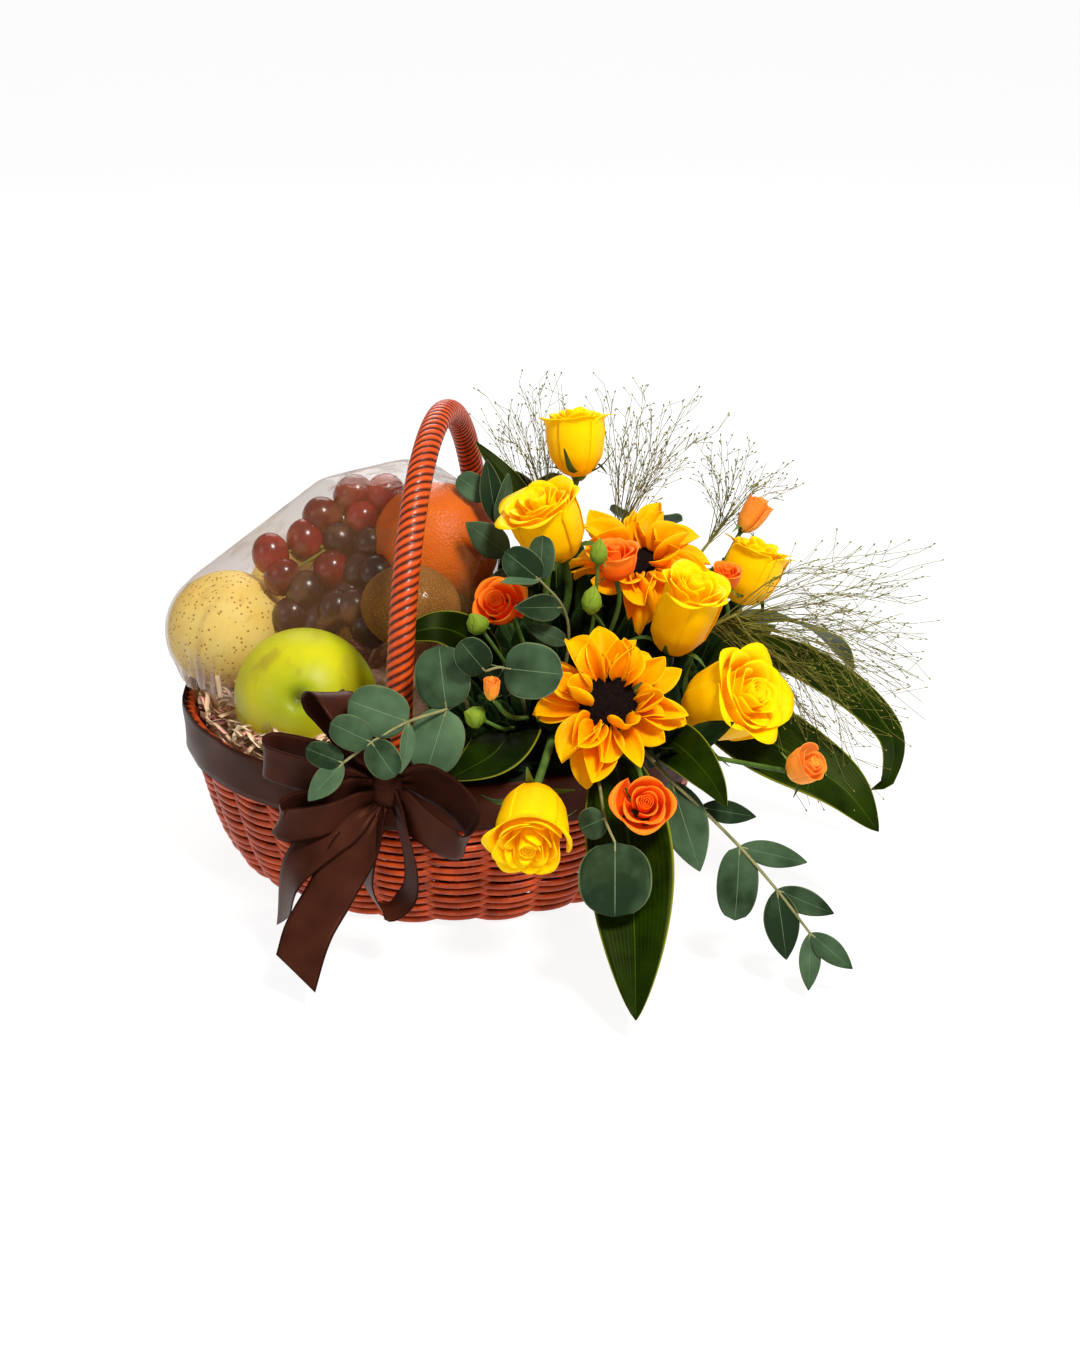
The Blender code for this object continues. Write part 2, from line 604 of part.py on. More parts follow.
def ball_points(middle, half_sizes, steps=5, sides=10):
    points = []
    for i in range(steps + 1):
        lean = math.pi * i / steps
        for j in range(sides):
            turn = 2 * math.pi * (j + 0.5 * (i % 2)) / sides
            direction = np.array((math.sin(lean) * math.cos(turn),
                                  math.sin(lean) * math.sin(turn), math.cos(lean)))
            points.append(np.asarray(middle) + direction * (np.asarray(half_sizes) + FILM_SLACK))
    return points


def hull_mesh(name, points):
    work = bmesh.new()
    for point in points:
        work.verts.new(point)
    hull = bmesh.ops.convex_hull(work, input=work.verts)
    inner = [item for item in hull["geom_interior"] + hull["geom_unused"]
             if isinstance(item, bmesh.types.BMVert)]
    bmesh.ops.delete(work, geom=list(dict.fromkeys(inner)), context="VERTS")
    bmesh.ops.recalc_face_normals(work, faces=work.faces)
    mesh = bpy.data.meshes.new(name)
    work.to_mesh(mesh)
    work.free()
    return mesh


def cutter(name, shape):
    made = bpy.data.objects.new(name, closed_mesh(name, shape))
    bpy.context.scene.collection.objects.link(made)
    made.hide_render = True
    made.display_type = "WIRE"
    return made


def half_outline(height, left_side, sides=32):
    """Inside outline of one half of the basket at a height, cut off at the middle."""
    half_length, half_width = wall_half_sizes(height)
    outline = []
    for i in range(sides):
        angle = 2 * math.pi * i / sides
        x = (half_length - FILLING_INSET) * math.cos(angle)
        x = min(x, FILM_RIGHT) if left_side else max(x, MOUND_LEFT)
        outline.append(np.array((x, (half_width - FILLING_INSET) * math.sin(angle), height)))
    return outline


def outside_of_left_half():
    """Everything the film stays clear of: the wall, the band and the right half."""
    columns = [half_outline(height, True) for height in INSIDE_HEIGHTS]
    columns.append([point * (1, 1, 0) + (0, 0, BAND_TOP + FILM_LIP) for point in columns[-1]])
    outer = [unit(point * (1, 1, 0) + (0.01, 0, 0)) * 0.25 for point in columns[0]]
    columns.append([point + (0, 0, BAND_TOP + FILM_LIP) for point in outer])
    columns.insert(0, [point + (0, 0, INSIDE_HEIGHTS[0]) for point in outer])
    return around(columns)


def build_fruit_pack():
    """Clear film drawn tight over the fruit, one closed solid."""
    points = [point for middle, half_sizes in FRUIT for point in ball_points(middle, half_sizes)]
    work = bpy.data.objects.new("fruit_pack_work", hull_mesh("fruit_pack_work", points))
    bpy.context.scene.collection.objects.link(work)
    outside = cutter("film_cutter", outside_of_left_half())
    cut = work.modifiers.new("Cut", "BOOLEAN")
    cut.operation = "DIFFERENCE"
    cut.object = outside
    mesh = evaluated_copy(work, "fruit_pack")
    bpy.data.objects.remove(work)
    bpy.data.objects.remove(outside)
    add_object("fruit_pack", mesh, (0.70, 0.55, 0.35), 0.25)


# Flowers and greens

def mound_height(x, y):
    away = ((x - MOUND_CENTRE[0]) / MOUND_REACH[0]) ** 2 + (y / MOUND_REACH[1]) ** 2
    return MOUND_EDGE_HEIGHT + MOUND_RISE * (1 - min(away, 1.0))


def build_mound():
    """Dark packed greens that carry the stems, filling the right half up to the rim."""
    rings = [half_outline(height, False, sides=20) for height in INSIDE_HEIGHTS]
    edge = rings[-1]
    for scale in MOUND_TIERS:
        ring = []
        for x, y, _ in edge:
            px, py = MOUND_CENTRE[0] + (x - MOUND_CENTRE[0]) * scale, y * scale
            ring.append(np.array((px, py, mound_height(px, py))))
        rings.append(ring)
    solid("flower_mound", joined_rings(rings), (0.010, 0.020, 0.008), 0.9)


def stem_route(name, head, axis):
    """Stem from the mound to the foot of a flower head, by the way set for it if it has one."""
    head = np.asarray(head, dtype=float)
    shift = FOOT_SHIFTS.get(name, (0.0, 0.0))
    x = MOUND_CENTRE[0] + 0.42 * (head[0] - MOUND_CENTRE[0]) + shift[0]
    y = 0.50 * head[1] + shift[1]
    foot = np.array((x, y, mound_height(x, y) + 0.003))
    middle = head - unit(axis) * 0.25 * np.linalg.norm(head - foot)
    middle[2] = max(middle[2], RIM_HEIGHT + 0.010)
    if name in STEM_WAYS:
        middle = np.asarray(STEM_WAYS[name])
    return [foot, middle, head + unit(axis) * 0.003]


def rose(name, base, top, radius, flare=1.0, colour=(0.85, 0.52, 0.01)):
    """Cut rose: a cup of wrapped petals round a swirl, on its sepals and stem."""
    base, top = np.asarray(base), np.asarray(top)
    height = np.linalg.norm(top - base)
    axis = unit(top - base)
    steps = ((0.00, 0.22), (0.08, 0.62), (0.30, 0.98), (0.60, 1.00), (0.82, 0.90),
             (0.96, 1.05 * flare), (0.86, 0.66), (0.97, 0.42), (0.94, 0.12))
    profile = [(share * height, reach * radius) for share, reach in steps]
    shapes = [turned(base, axis, profile, sides=9, lobe=0.07),
              star(base, axis, 0.0015, radius * 0.8, 5, 0.12),
              tube(stem_route(name, base, axis), (STEM_RADIUS, STEM_RADIUS), sides=5, count=4)]
    fused(name, shapes, colour, 0.55)


def bud(name, base, top, radius, colour, stem=0.0013, open_top=0.25, has_sepals=True):
    """Small closed or half open bud on a thin stem."""
    base, top = np.asarray(base), np.asarray(top)
    height = np.linalg.norm(top - base)
    axis = unit(top - base)
    steps = ((0.0, 0.30), (0.15, 0.80), (0.40, 1.0), (0.70, 0.80), (1.0, open_top))
    profile = [(share * height, reach * radius) for share, reach in steps]
    shapes = [turned(base, axis, profile, sides=7),
              tube(stem_route(name, base, axis), (stem, stem), sides=4, count=4)]
    if has_sepals:
        shapes.append(star(base, axis, 0.0007, radius * 1.1, 3, 0.10, thickness=0.0009))
    fused(name, shapes, colour, 0.55)


def sunflower(name, centre, axis, disc_radius, petal_length, petals):
    """Dark disc in two rows of curled petals over a green back."""
    centre = np.asarray(centre)
    axis = unit(axis)
    back = centre - axis * 0.009
    profile = ((0.0, 0.006), (0.004, disc_radius * 0.9), (0.009, disc_radius * 1.05),
               (0.012, disc_radius * 0.8), (0.010, disc_radius * 0.3))
    shapes = [turned(back, axis, profile, sides=11)]
    for height, rise, length, turn in ((0.003, 0.25, 1.0, 0.0), (0.006, 0.70, 0.8, 0.2)):
        shapes.append(star(back + axis * height, axis, disc_radius * 0.75, petal_length * length,
                           petals // 2, rise, turn=turn, jitter=0.1))
    shapes.append(tube(stem_route(name, back, axis), (STEM_RADIUS, STEM_RADIUS), sides=5, count=4))
    fused(name, shapes, (0.85, 0.36, 0.01), 0.55)


def long_leaf(name, points, width, facing):
    solid(name, blade(points, width, facing, lance_outline, rows=5, fold=0.12),
          (0.02, 0.07, 0.015), 0.4)


def eucalyptus(name, stem, leaves):
    """Branch of round leaves, each from a stem point to its tip, with its width and facing."""
    shapes = [tube(stem, (0.0013, 0.0010), sides=4, count=2 * len(stem) - 1)]
    for place, tip, width, facing in leaves:
        foot, tip = np.asarray(stem[place]), np.asarray(tip)
        foot = foot - unit(tip - foot) * 0.0012
        middle = (foot + tip) / 2 + unit(facing) * 0.06 * np.linalg.norm(tip - foot)
        shapes.append(blade((foot, middle, tip), width, facing, round_outline, rows=3, halves=1, fold=0.0))
    fused(name, shapes, (0.07, 0.14, 0.09), 0.6)


def grass(name, foot, base, heading, spread, length, droop, count):
    """Airy plume: thin branches fanned out from the top of one stalk."""
    base, heading = np.asarray(base), unit(heading)
    across = unit(np.cross(heading, TO_VIEWER))
    depth = np.cross(across, heading)
    stalk = unit(base - np.asarray(foot))
    shapes = [tube((foot, base), (0.0012, 0.0010), sides=4, count=3)]
    for i in range(count):
        turn = spread * (2 * (i + 0.5) / count - 1)
        tilt = random_numbers.uniform(-0.12, 0.12)
        way = unit(heading * math.cos(turn) + across * math.sin(turn) + depth * tilt)
        reach = length * random_numbers.uniform(0.8, 1.0)
        middle = base + way * reach * 0.55
        tip = base + way * reach - np.array((0, 0, droop * reach))
        start = base - stalk * 0.0012 * (i + 1)
        shapes.append(tube((start, middle, tip), (0.0006, 0.0004), sides=3, count=3))
    fused(name, shapes, (0.16, 0.14, 0.04), 0.7)


def main():
    for item in list(bpy.data.objects):
        bpy.data.objects.remove(item)
    build_basket()
    build_handle()
    build_band()
    build_bow()
    build_fruit_pack()
    build_mound()
    for i, (base, top, radius, flare) in enumerate(ROSES, start=1):
        rose(f"rose_{i}", base, top, radius, flare)
    for i, values in enumerate(SUNFLOWERS, start=1):
        sunflower(f"sunflower_{i}", *values)
    for i, (base, top, radius) in enumerate(ORANGE_ROSES, start=1):
        bud(f"orange_rose_{i}", base, top, radius, (0.80, 0.16, 0.02), open_top=0.6)
    for i, (base, top, radius) in enumerate(ORANGE_BUDS, start=1):
        bud(f"orange_bud_{i}", base, top, radius, (0.80, 0.22, 0.03))
    for i, (base, top, radius) in enumerate(GREEN_BUDS, start=1):
        bud(f"green_bud_{i}", base, top, radius, (0.14, 0.25, 0.03), stem=0.0010, open_top=0.05,
            has_sepals=False)
    for i, (points, width, facing) in enumerate(LONG_LEAVES, start=1):
        long_leaf(f"long_leaf_{i}", points, width, facing)
    for i, (stem, leaves) in enumerate(EUCALYPTUS, start=1):
        eucalyptus(f"eucalyptus_{i}", stem, leaves)
    for i, values in enumerate(GRASSES, start=1):
        grass(f"grass_{i}", *values)


main()
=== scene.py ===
"""Looks of the gift hamper: woven basket, wrapped handle, satin ribbon, fruit under film, flowers.

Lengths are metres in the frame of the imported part: +Z up, X the long way, -Y the front.
"""

import math
import random

import bmesh
import bpy
import numpy as np
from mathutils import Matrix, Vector


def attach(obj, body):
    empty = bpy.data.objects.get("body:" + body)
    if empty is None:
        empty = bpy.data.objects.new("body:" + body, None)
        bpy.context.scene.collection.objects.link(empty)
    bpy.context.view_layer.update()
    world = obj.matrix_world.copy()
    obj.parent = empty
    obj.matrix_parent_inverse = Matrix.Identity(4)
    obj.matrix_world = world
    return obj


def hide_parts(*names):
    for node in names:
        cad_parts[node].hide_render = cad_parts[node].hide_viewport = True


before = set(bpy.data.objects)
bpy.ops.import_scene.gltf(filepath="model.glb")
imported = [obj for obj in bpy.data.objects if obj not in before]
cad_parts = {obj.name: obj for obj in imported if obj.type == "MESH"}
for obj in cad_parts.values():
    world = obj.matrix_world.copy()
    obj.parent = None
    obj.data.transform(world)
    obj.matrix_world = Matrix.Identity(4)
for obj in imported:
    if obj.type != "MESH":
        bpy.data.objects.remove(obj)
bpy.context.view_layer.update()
chance = random.Random(11)

# Camera
AZIMUTH = 9.5
ELEVATION = 22.5
CAMERA_DISTANCE = 1.2
CAMERA_TARGET = (0.0545, 0.0, 0.103)
CAMERA_LENS = 57.3

# Floor and light
FLOOR_HALF_SIZE = 30.0
FLOOR_DROP = 0.0005
WORLD_LIGHT = 0.34
LIGHT_TARGET = (0.05, 0.0, 0.1)
# Lamps: name, place, size, power and colour
LAMPS = (
    ("key", (0.8, -0.9, 1.7), 0.40, 44.0, (1.0, 0.98, 0.95)),
    ("fill", (-1.3, -1.1, 0.8), 0.7, 3.0, (1.0, 1.0, 1.0)),
    ("back", (-0.3, 1.4, 1.2), 1.0, 14.0, (1.0, 1.0, 1.0)),
)

# Basket
RIM_HALF_LENGTH = 0.147
RIM_HALF_WIDTH = 0.128
BASE_HALF_LENGTH = 0.112
BASE_HALF_WIDTH = 0.102
RIM_HEIGHT = 0.089
WALL_CURVE = 0.42
STAKES = 28
WALL_INSET = 0.003
FIRST_ROW_HEIGHT = 0.0028
ROW_PITCH = 0.0024
STRAND_HALF_HEIGHT = 0.0018
STRAND_HALF_DEPTH = 0.0014
STRAND_STEPS = 8
STRAND_SIDES = 8
STRAND_WOBBLE = 0.0003
STRAND_DIP = 0.0006
WEAVE_SWING = 0.0024
STAKE_RADIUS = 0.0014
FLOOR_ROWS = 13
FLOOR_HEIGHT = 0.0032
FLOOR_STRAND_HALF_HEIGHT = 0.003
RIM_BORDER = 0.006
RIM_STRAND_RADIUS = 0.0016
RIM_STRAND_INSET = 0.0032
RIM_STRAND_LIFT = 0.0014
RIM_TWISTS = 60

# Handle
HANDLE_RADIUS = 0.0070
HANDLE_RISE = 0.160
HANDLE_HALF_SPAN = 0.1135
HANDLE_FOOT_HEIGHT = 0.072
HANDLE_FOOT_LEAN = 0.0025
WRAP_PITCH = 0.0046
WRAP_STARTS = 5
WRAP_DEPTH = 0.0010

# Ribbon
RIBBON_WIDTH = 0.025
LOOP_WIDTH = 0.023
RIBBON_THICKNESS = 0.0004
BAND_BOTTOM = 0.0655
BAND_TOP = 0.0915
BAND_GAP = 0.0009
BAND_WAVE = 0.0004
BAND_RIPPLE = 0.0003
BAND_CROWN = 0.0004
BAND_SWAY = 0.0006
PLEATED_SHARE = 0.34
PLEATED_WIDTH = 0.26
PLEAT_DEPTH = 0.0011
RIBBON_CUP = 0.02
KNOT = np.array((0.000, -0.1415, 0.097))
KNOT_RADIUS = 0.0062
KNOT_HALF_HEIGHT = 0.008
KNOT_BULGE = 0.0014
KNOT_PLEAT = 0.0004
KNOT_TILT = 0.0012
KNOT_STRIP_LENGTH = math.tau * 0.008
KNOT_STRIP_WIDTH = 0.019
LOOP_LIFT = np.array((0.0, 0.0, 0.003))
LOOP_START_STEP = np.array((0.0004, 0.0003, 0.0))
LOOP_END_STEP = np.array((-0.0003, 0.0005, 0.0))
TAIL_DROP = np.array((0.0, 0.0, -0.006))
TAIL_STEP = np.array((0.0, -0.0015, 0.0))

# Flower mound in the right half of the basket, as far from the middle as the fruit in the left half
HALVES_GAP = 0.0095
MOUND_MIDDLE = 0.070
MOUND_REACH = (0.062, 0.100)
MOUND_EDGE_HEIGHT = 0.090
MOUND_RISE = 0.018
MOUND_SIDES = 72
CORE_INSET = 0.009
CORE_LUMP = 0.0018
CORE_BOTTOM = 0.020
MOUND_WALL_HEIGHT = 0.084
MOUND_INSET = 0.012
SMALL_LEAVES = 420
SMALL_LEAF_LENGTHS = (0.008, 0.015)
SMALL_LEAF_NEAREST = 0.014
INNER_LEAVES = 420
INNER_LEAF_LENGTHS = (0.025, 0.065)
INNER_LEAF_WIDTHS = (0.009, 0.016)
HEAD_CLEARANCE = 0.004

STEM_RADIUS = 0.0022
SMALL_STEM_RADIUS = 0.0013
BUD_STEM_RADIUS = 0.001
BRANCH_RADII = (0.0011, 0.0007)
LEAF_STALK_RADIUS = 0.0006
PLUME_STALK_RADII = (0.0011, 0.0010, 0.0009, 0.0008)
PLUME_BRANCH_RADIUS = 0.00028
TWIG_RADIUS = 0.00015
SEED_RADII = (0.0003, 0.0005, 0.0002)
PETAL_THICKNESS = 0.0003
BUD_PETAL_THICKNESS = 0.0004
LEAF_THICKNESS = 0.0006
WAXY_LEAF_THICKNESS = 0.0005
SMALL_LEAF_THICKNESS = 0.0003

# Ways that leaves and fruit face
TO_VIEWER = (0.15, -0.91, 0.38)
TO_BACK = (0.0, 0.65, 0.75)

# Fruit under the film: middle and half sizes
FRUIT = {
    "pear": ((-0.126, 0.002, 0.118), (0.034, 0.034, 0.034)),
    "apple": ((-0.066, -0.053, 0.103), (0.039, 0.038, 0.036)),
    "orange": ((-0.010, 0.030, 0.166), (0.036, 0.034, 0.036)),
    "kiwi": ((-0.012, -0.028, 0.150), (0.028, 0.024, 0.023)),
    "front_grapes": ((-0.090, 0.018, 0.162), (0.017, 0.014, 0.014)),
    "back_grapes": ((-0.066, 0.038, 0.185), (0.020, 0.016, 0.014)),
    "back_orange": ((-0.030, 0.064, 0.156), (0.034, 0.032, 0.034)),
    "back_pear": ((-0.095, 0.060, 0.118), (0.036, 0.034, 0.036)),
}

FILM_SLACK = 0.0015
FILM_VOXEL = 0.0028
FILM_PROUD = 0.0012
FILM_FOLD = 0.0008
FILM_EDGE_HEIGHT = 0.086
BED_HEIGHT = 0.079
BED_MIDDLE = -0.066
BED_INSET = 0.010
BED_WAVE = 0.0022
BED_RIPPLE = 0.0010
SHREDS = 700
SHRED_LENGTH = 0.020
SHRED_WIDTH = 0.0028
SHRED_BEND = 0.006
SHRED_FOOT_INSET = 0.014
SHRED_INSET = 0.007
SHRED_NEAREST = 0.012
SHRED_THICKNESS = 0.0003
BED_THICKNESS = 0.0005
SHRED_LOWEST = 0.080
SHRED_HIGHEST = 0.097

# Grapes: radius, middles, and the stalk
GRAPE_RADIUS = 0.0112
STALK_RADIUS = 0.0014
SIDE_STALK_RADIUS = 0.0010
RED_GRAPES = (
    (-0.101, 0.010, 0.162), (-0.093, 0.004, 0.151), (-0.076, 0.032, 0.177), (-0.053, 0.034, 0.177),
    (-0.084, 0.022, 0.167), (-0.067, 0.012, 0.153), (-0.060, 0.042, 0.188), (-0.042, 0.042, 0.190),
)
PURPLE_GRAPES = (
    (-0.079, 0.002, 0.143), (-0.087, -0.004, 0.131), (-0.060, -0.006, 0.137), (-0.046, 0.022, 0.166),
    (-0.050, 0.012, 0.153), (-0.038, 0.006, 0.154), (-0.064, 0.026, 0.166), (-0.048, -0.006, 0.138),
    (-0.070, -0.002, 0.127), (-0.040, -0.010, 0.128), (-0.074, 0.016, 0.140), (-0.056, 0.010, 0.140),
)
GRAPE_STALK = ((-0.086, 0.016, 0.164), (-0.066, 0.022, 0.166), (-0.046, 0.034, 0.176))

# Bow loops and tails: points after the knot, and the way the ribbon's width runs at its start and end
BOW_LOOPS = (
    (((-0.006, -0.143, 0.117), (-0.018, -0.142, 0.135), (-0.029, -0.135, 0.143), (-0.035, -0.126, 0.134),
      (-0.018, -0.131, 0.114)), (-0.70, -0.60, 0.20), (-0.70, -0.60, 0.20)),
    (((-0.028, -0.140, 0.107), (-0.055, -0.141, 0.112), (-0.062, -0.146, 0.111), (-0.056, -0.151, 0.108),
      (-0.026, -0.152, 0.102)), (0.10, -0.20, 0.95), (0.10, -0.30, 0.95)),
    (((-0.024, -0.152, 0.092), (-0.045, -0.157, 0.087), (-0.051, -0.162, 0.085), (-0.045, -0.164, 0.082),
      (-0.022, -0.160, 0.087)), (0.25, -0.20, 0.90), (0.25, -0.30, 0.90)),
    (((0.023, -0.144, 0.101), (0.040, -0.150, 0.093), (0.047, -0.157, 0.085), (0.041, -0.165, 0.078),
      (0.021, -0.160, 0.086)), (0.35, -0.20, 0.85), (0.50, -0.40, 0.75)),
    (((0.009, -0.151, 0.082), (0.014, -0.152, 0.058), (0.012, -0.152, 0.041), (0.000, -0.153, 0.032),
      (-0.009, -0.154, 0.048), (-0.005, -0.154, 0.074)), (0.50, -0.85, 0.10), (0.50, -0.85, 0.10)),
)
BOW_TAILS = (
    (((-0.014, -0.154, 0.085), (-0.028, -0.158, 0.074), (-0.044, -0.165, 0.056), (-0.048, -0.172, 0.032)),
     (0.70, -0.25, -0.60), (0.40, -0.90, 0.00)),
    (((-0.010, -0.160, 0.074), (-0.023, -0.174, 0.050), (-0.031, -0.188, 0.035), (-0.035, -0.199, 0.018)),
     (0.85, -0.20, -0.35), (0.92, -0.25, -0.30)),
)

# Roses and buds: foot of the head, its top and radius, and how far a yellow rose opens
ROSES = (
    ((0.071, 0.030, 0.210), (0.068, 0.038, 0.247), 0.017, 1.12),
    ((0.070, -0.013, 0.178), (0.056, -0.023, 0.217), 0.021, 1.05),
    ((0.130, -0.030, 0.134), (0.145, -0.037, 0.181), 0.018, 0.95),
    ((0.160, 0.052, 0.133), (0.172, 0.062, 0.168), 0.018, 1.15),
    ((0.1445, -0.0562, 0.1092), (0.183, -0.076, 0.1345), 0.024, 1.00),
    ((0.074, -0.134, 0.096), (0.078, -0.1765, 0.082), 0.019, 1.00),
)

# Sunflowers: middle, facing, disc radius, petal length and petals
SUNFLOWERS = (
    ((0.108, 0.020, 0.165), (0.02, -0.42, 0.90), 0.013, 0.033, 20),
    ((0.106, -0.095, 0.130), (0.02, -0.70, 0.72), 0.015, 0.031, 22),
)
ORANGE_ROSES = (
    ((0.101, -0.036, 0.176), (0.100, -0.038, 0.196), 0.0125),
    ((0.045, -0.052, 0.160), (0.042, -0.066, 0.172), 0.014),
    ((0.130, -0.140, 0.093), (0.133, -0.154, 0.105), 0.015),
    ((0.1535, 0.021, 0.1535), (0.1555, 0.018, 0.167), 0.0085),
)
ORANGE_BUDS = (
    ((0.157, 0.094, 0.162), (0.169, 0.098, 0.182), 0.0085),
    ((0.200, -0.092, 0.096), (0.213, -0.100, 0.108), 0.0105),
    ((0.0505, -0.126, 0.141), (0.0515, -0.128, 0.154), 0.0045),
)
GREEN_BUDS = (
    ((0.094, -0.054, 0.190), (0.095, -0.054, 0.204), 0.005),
    ((0.0925, -0.070, 0.169), (0.0945, -0.070, 0.184), 0.0055),
    ((0.038, -0.080, 0.159), (0.032, -0.082, 0.169), 0.006),
    ((0.046, -0.122, 0.128), (0.037, -0.126, 0.133), 0.006),
)

# Rose petals: how far out they reach on their way up, and each whorl's petals and half width in radians
ROSE_STEPS = (0.00, 0.08, 0.30, 0.60, 0.82, 1.00)
ROSE_REACH = (0.20, 0.54, 0.86, 0.97, 0.97, 1.02)
ROSE_WHORLS = ((5, 0.86), (5, 0.90), (5, 0.95), (4, 1.05), (3, 1.15))
SMALL_WHORLS = ((4, 0.95), (4, 1.0), (3, 1.1))
SWIRL_TURNS = 3.2
BUD_PETALS = 7
BUD_STEPS = (0.0, 0.15, 0.40, 0.70, 1.0)
BUD_REACH = (0.30, 0.80, 1.0, 0.78, 0.06)

# Sunflower petals by layer: height of the foot, share of the length, lift, curl, cup and extra petals
PETAL_LAYERS = (
    (0.004, 1.06, 0.00, 0.70, 0.8, 2),
    (0.006, 0.96, 0.40, 0.75, 1.0, 2),
    (0.008, 0.62, 0.75, 0.40, 1.2, -1),
)
HEAD_DEPTH = 0.009
DISC_TUFTS = 340
DISC_HALF_DEPTH = 0.005
DISC_DOME = 0.004
TUFT_LENGTHS = (0.0012, 0.0026)
TUFT_LEANS = (-0.0006, 0.0010)
TUFT_RADII = (0.0006, 0.0007, 0.0003)
GOLDEN_ANGLE = 2.39996

# Where stems leave their usual foot or way to pass their neighbours
FOOT_SHIFTS = {
    "rose_1": (-0.018, 0.006),
    "rose_2": (-0.012, -0.006),
    "rose_4": (0.0, 0.004),
    "orange_bud_1": (-0.004, 0.028),
    "orange_rose_4": (0.016, 0.004),
    "green_bud_1": (-0.006, -0.004),
    "orange_bud_3": (0.004, 0.011),
    "green_bud_2": (0.012, 0.006),
    "green_bud_4": (-0.008, 0.0),
}
STEM_WAYS = {
    "rose_1": (0.055, 0.030, 0.160),
    "rose_2": (0.070, 0.000, 0.150),
    "rose_6": (0.077, -0.104, 0.108),
    "orange_rose_3": (0.122, -0.110, 0.104),
    "orange_rose_4": (0.154, 0.021, 0.128),
    "orange_bud_1": (0.140, 0.092, 0.130),
    "orange_bud_2": (0.140, -0.074, 0.0965),
    "orange_bud_3": (0.0585, -0.112, 0.126),
    "green_bud_1": (0.090, -0.050, 0.150),
    "green_bud_2": (0.098, -0.046, 0.145),
    "green_bud_4": (0.055, -0.116, 0.121),
}

# Leaves: points along the midrib, width and facing
LONG_LEAVES = (
    (((0.106, -0.078, 0.0975), (0.113, -0.106, 0.092), (0.124, -0.144, 0.072),
      (0.131, -0.178, 0.046), (0.136, -0.208, 0.014)), 0.044, (-0.05, -0.75, 0.50)),
    (((0.128, -0.016, 0.100), (0.150, -0.026, 0.1015), (0.196, -0.048, 0.088),
      (0.226, -0.058, 0.074), (0.246, -0.066, 0.054)), 0.042, (-0.12, -0.50, 0.86)),
    (((0.128, 0.024, 0.096), (0.172, 0.022, 0.117), (0.215, 0.012, 0.106),
      (0.248, 0.002, 0.082), (0.250, 0.002, 0.054), (0.241, 0.006, 0.044)), 0.026,
     (0.35, -0.50, 0.80)),
    (((0.056, -0.078, 0.101), (0.056, -0.104, 0.112), (0.050, -0.124, 0.109),
      (0.031, -0.136, 0.100)), 0.034, (-0.10, -0.55, 0.85)),
    (((0.035, -0.040, 0.100), (0.030, -0.058, 0.140), (0.014, -0.072, 0.156),
      (-0.010, -0.080, 0.152)), 0.024, (0.05, -0.75, 0.65)),
    (((0.052, 0.040, 0.105), (0.048, 0.034, 0.160), (0.034, 0.040, 0.196),
      (0.010, 0.048, 0.222)), 0.020, (0.55, -0.70, 0.45)),
    (((0.126, -0.064, 0.100), (0.144, -0.100, 0.110), (0.160, -0.116, 0.102),
      (0.170, -0.125, 0.091)), 0.024, (-0.20, -0.75, 0.60)),
    (((0.100, 0.070, 0.098), (0.120, 0.110, 0.126), (0.132, 0.146, 0.112),
      (0.138, 0.176, 0.076)), 0.040, (0.05, 0.55, 0.85)),
    (((0.055, 0.075, 0.098), (0.050, 0.112, 0.122), (0.040, 0.148, 0.106),
      (0.030, 0.172, 0.070)), 0.038, (-0.10, 0.60, 0.80)),
    (((0.125, 0.045, 0.096), (0.170, 0.080, 0.112), (0.206, 0.108, 0.096),
      (0.226, 0.128, 0.066)), 0.038, (0.30, 0.40, 0.85)),
)

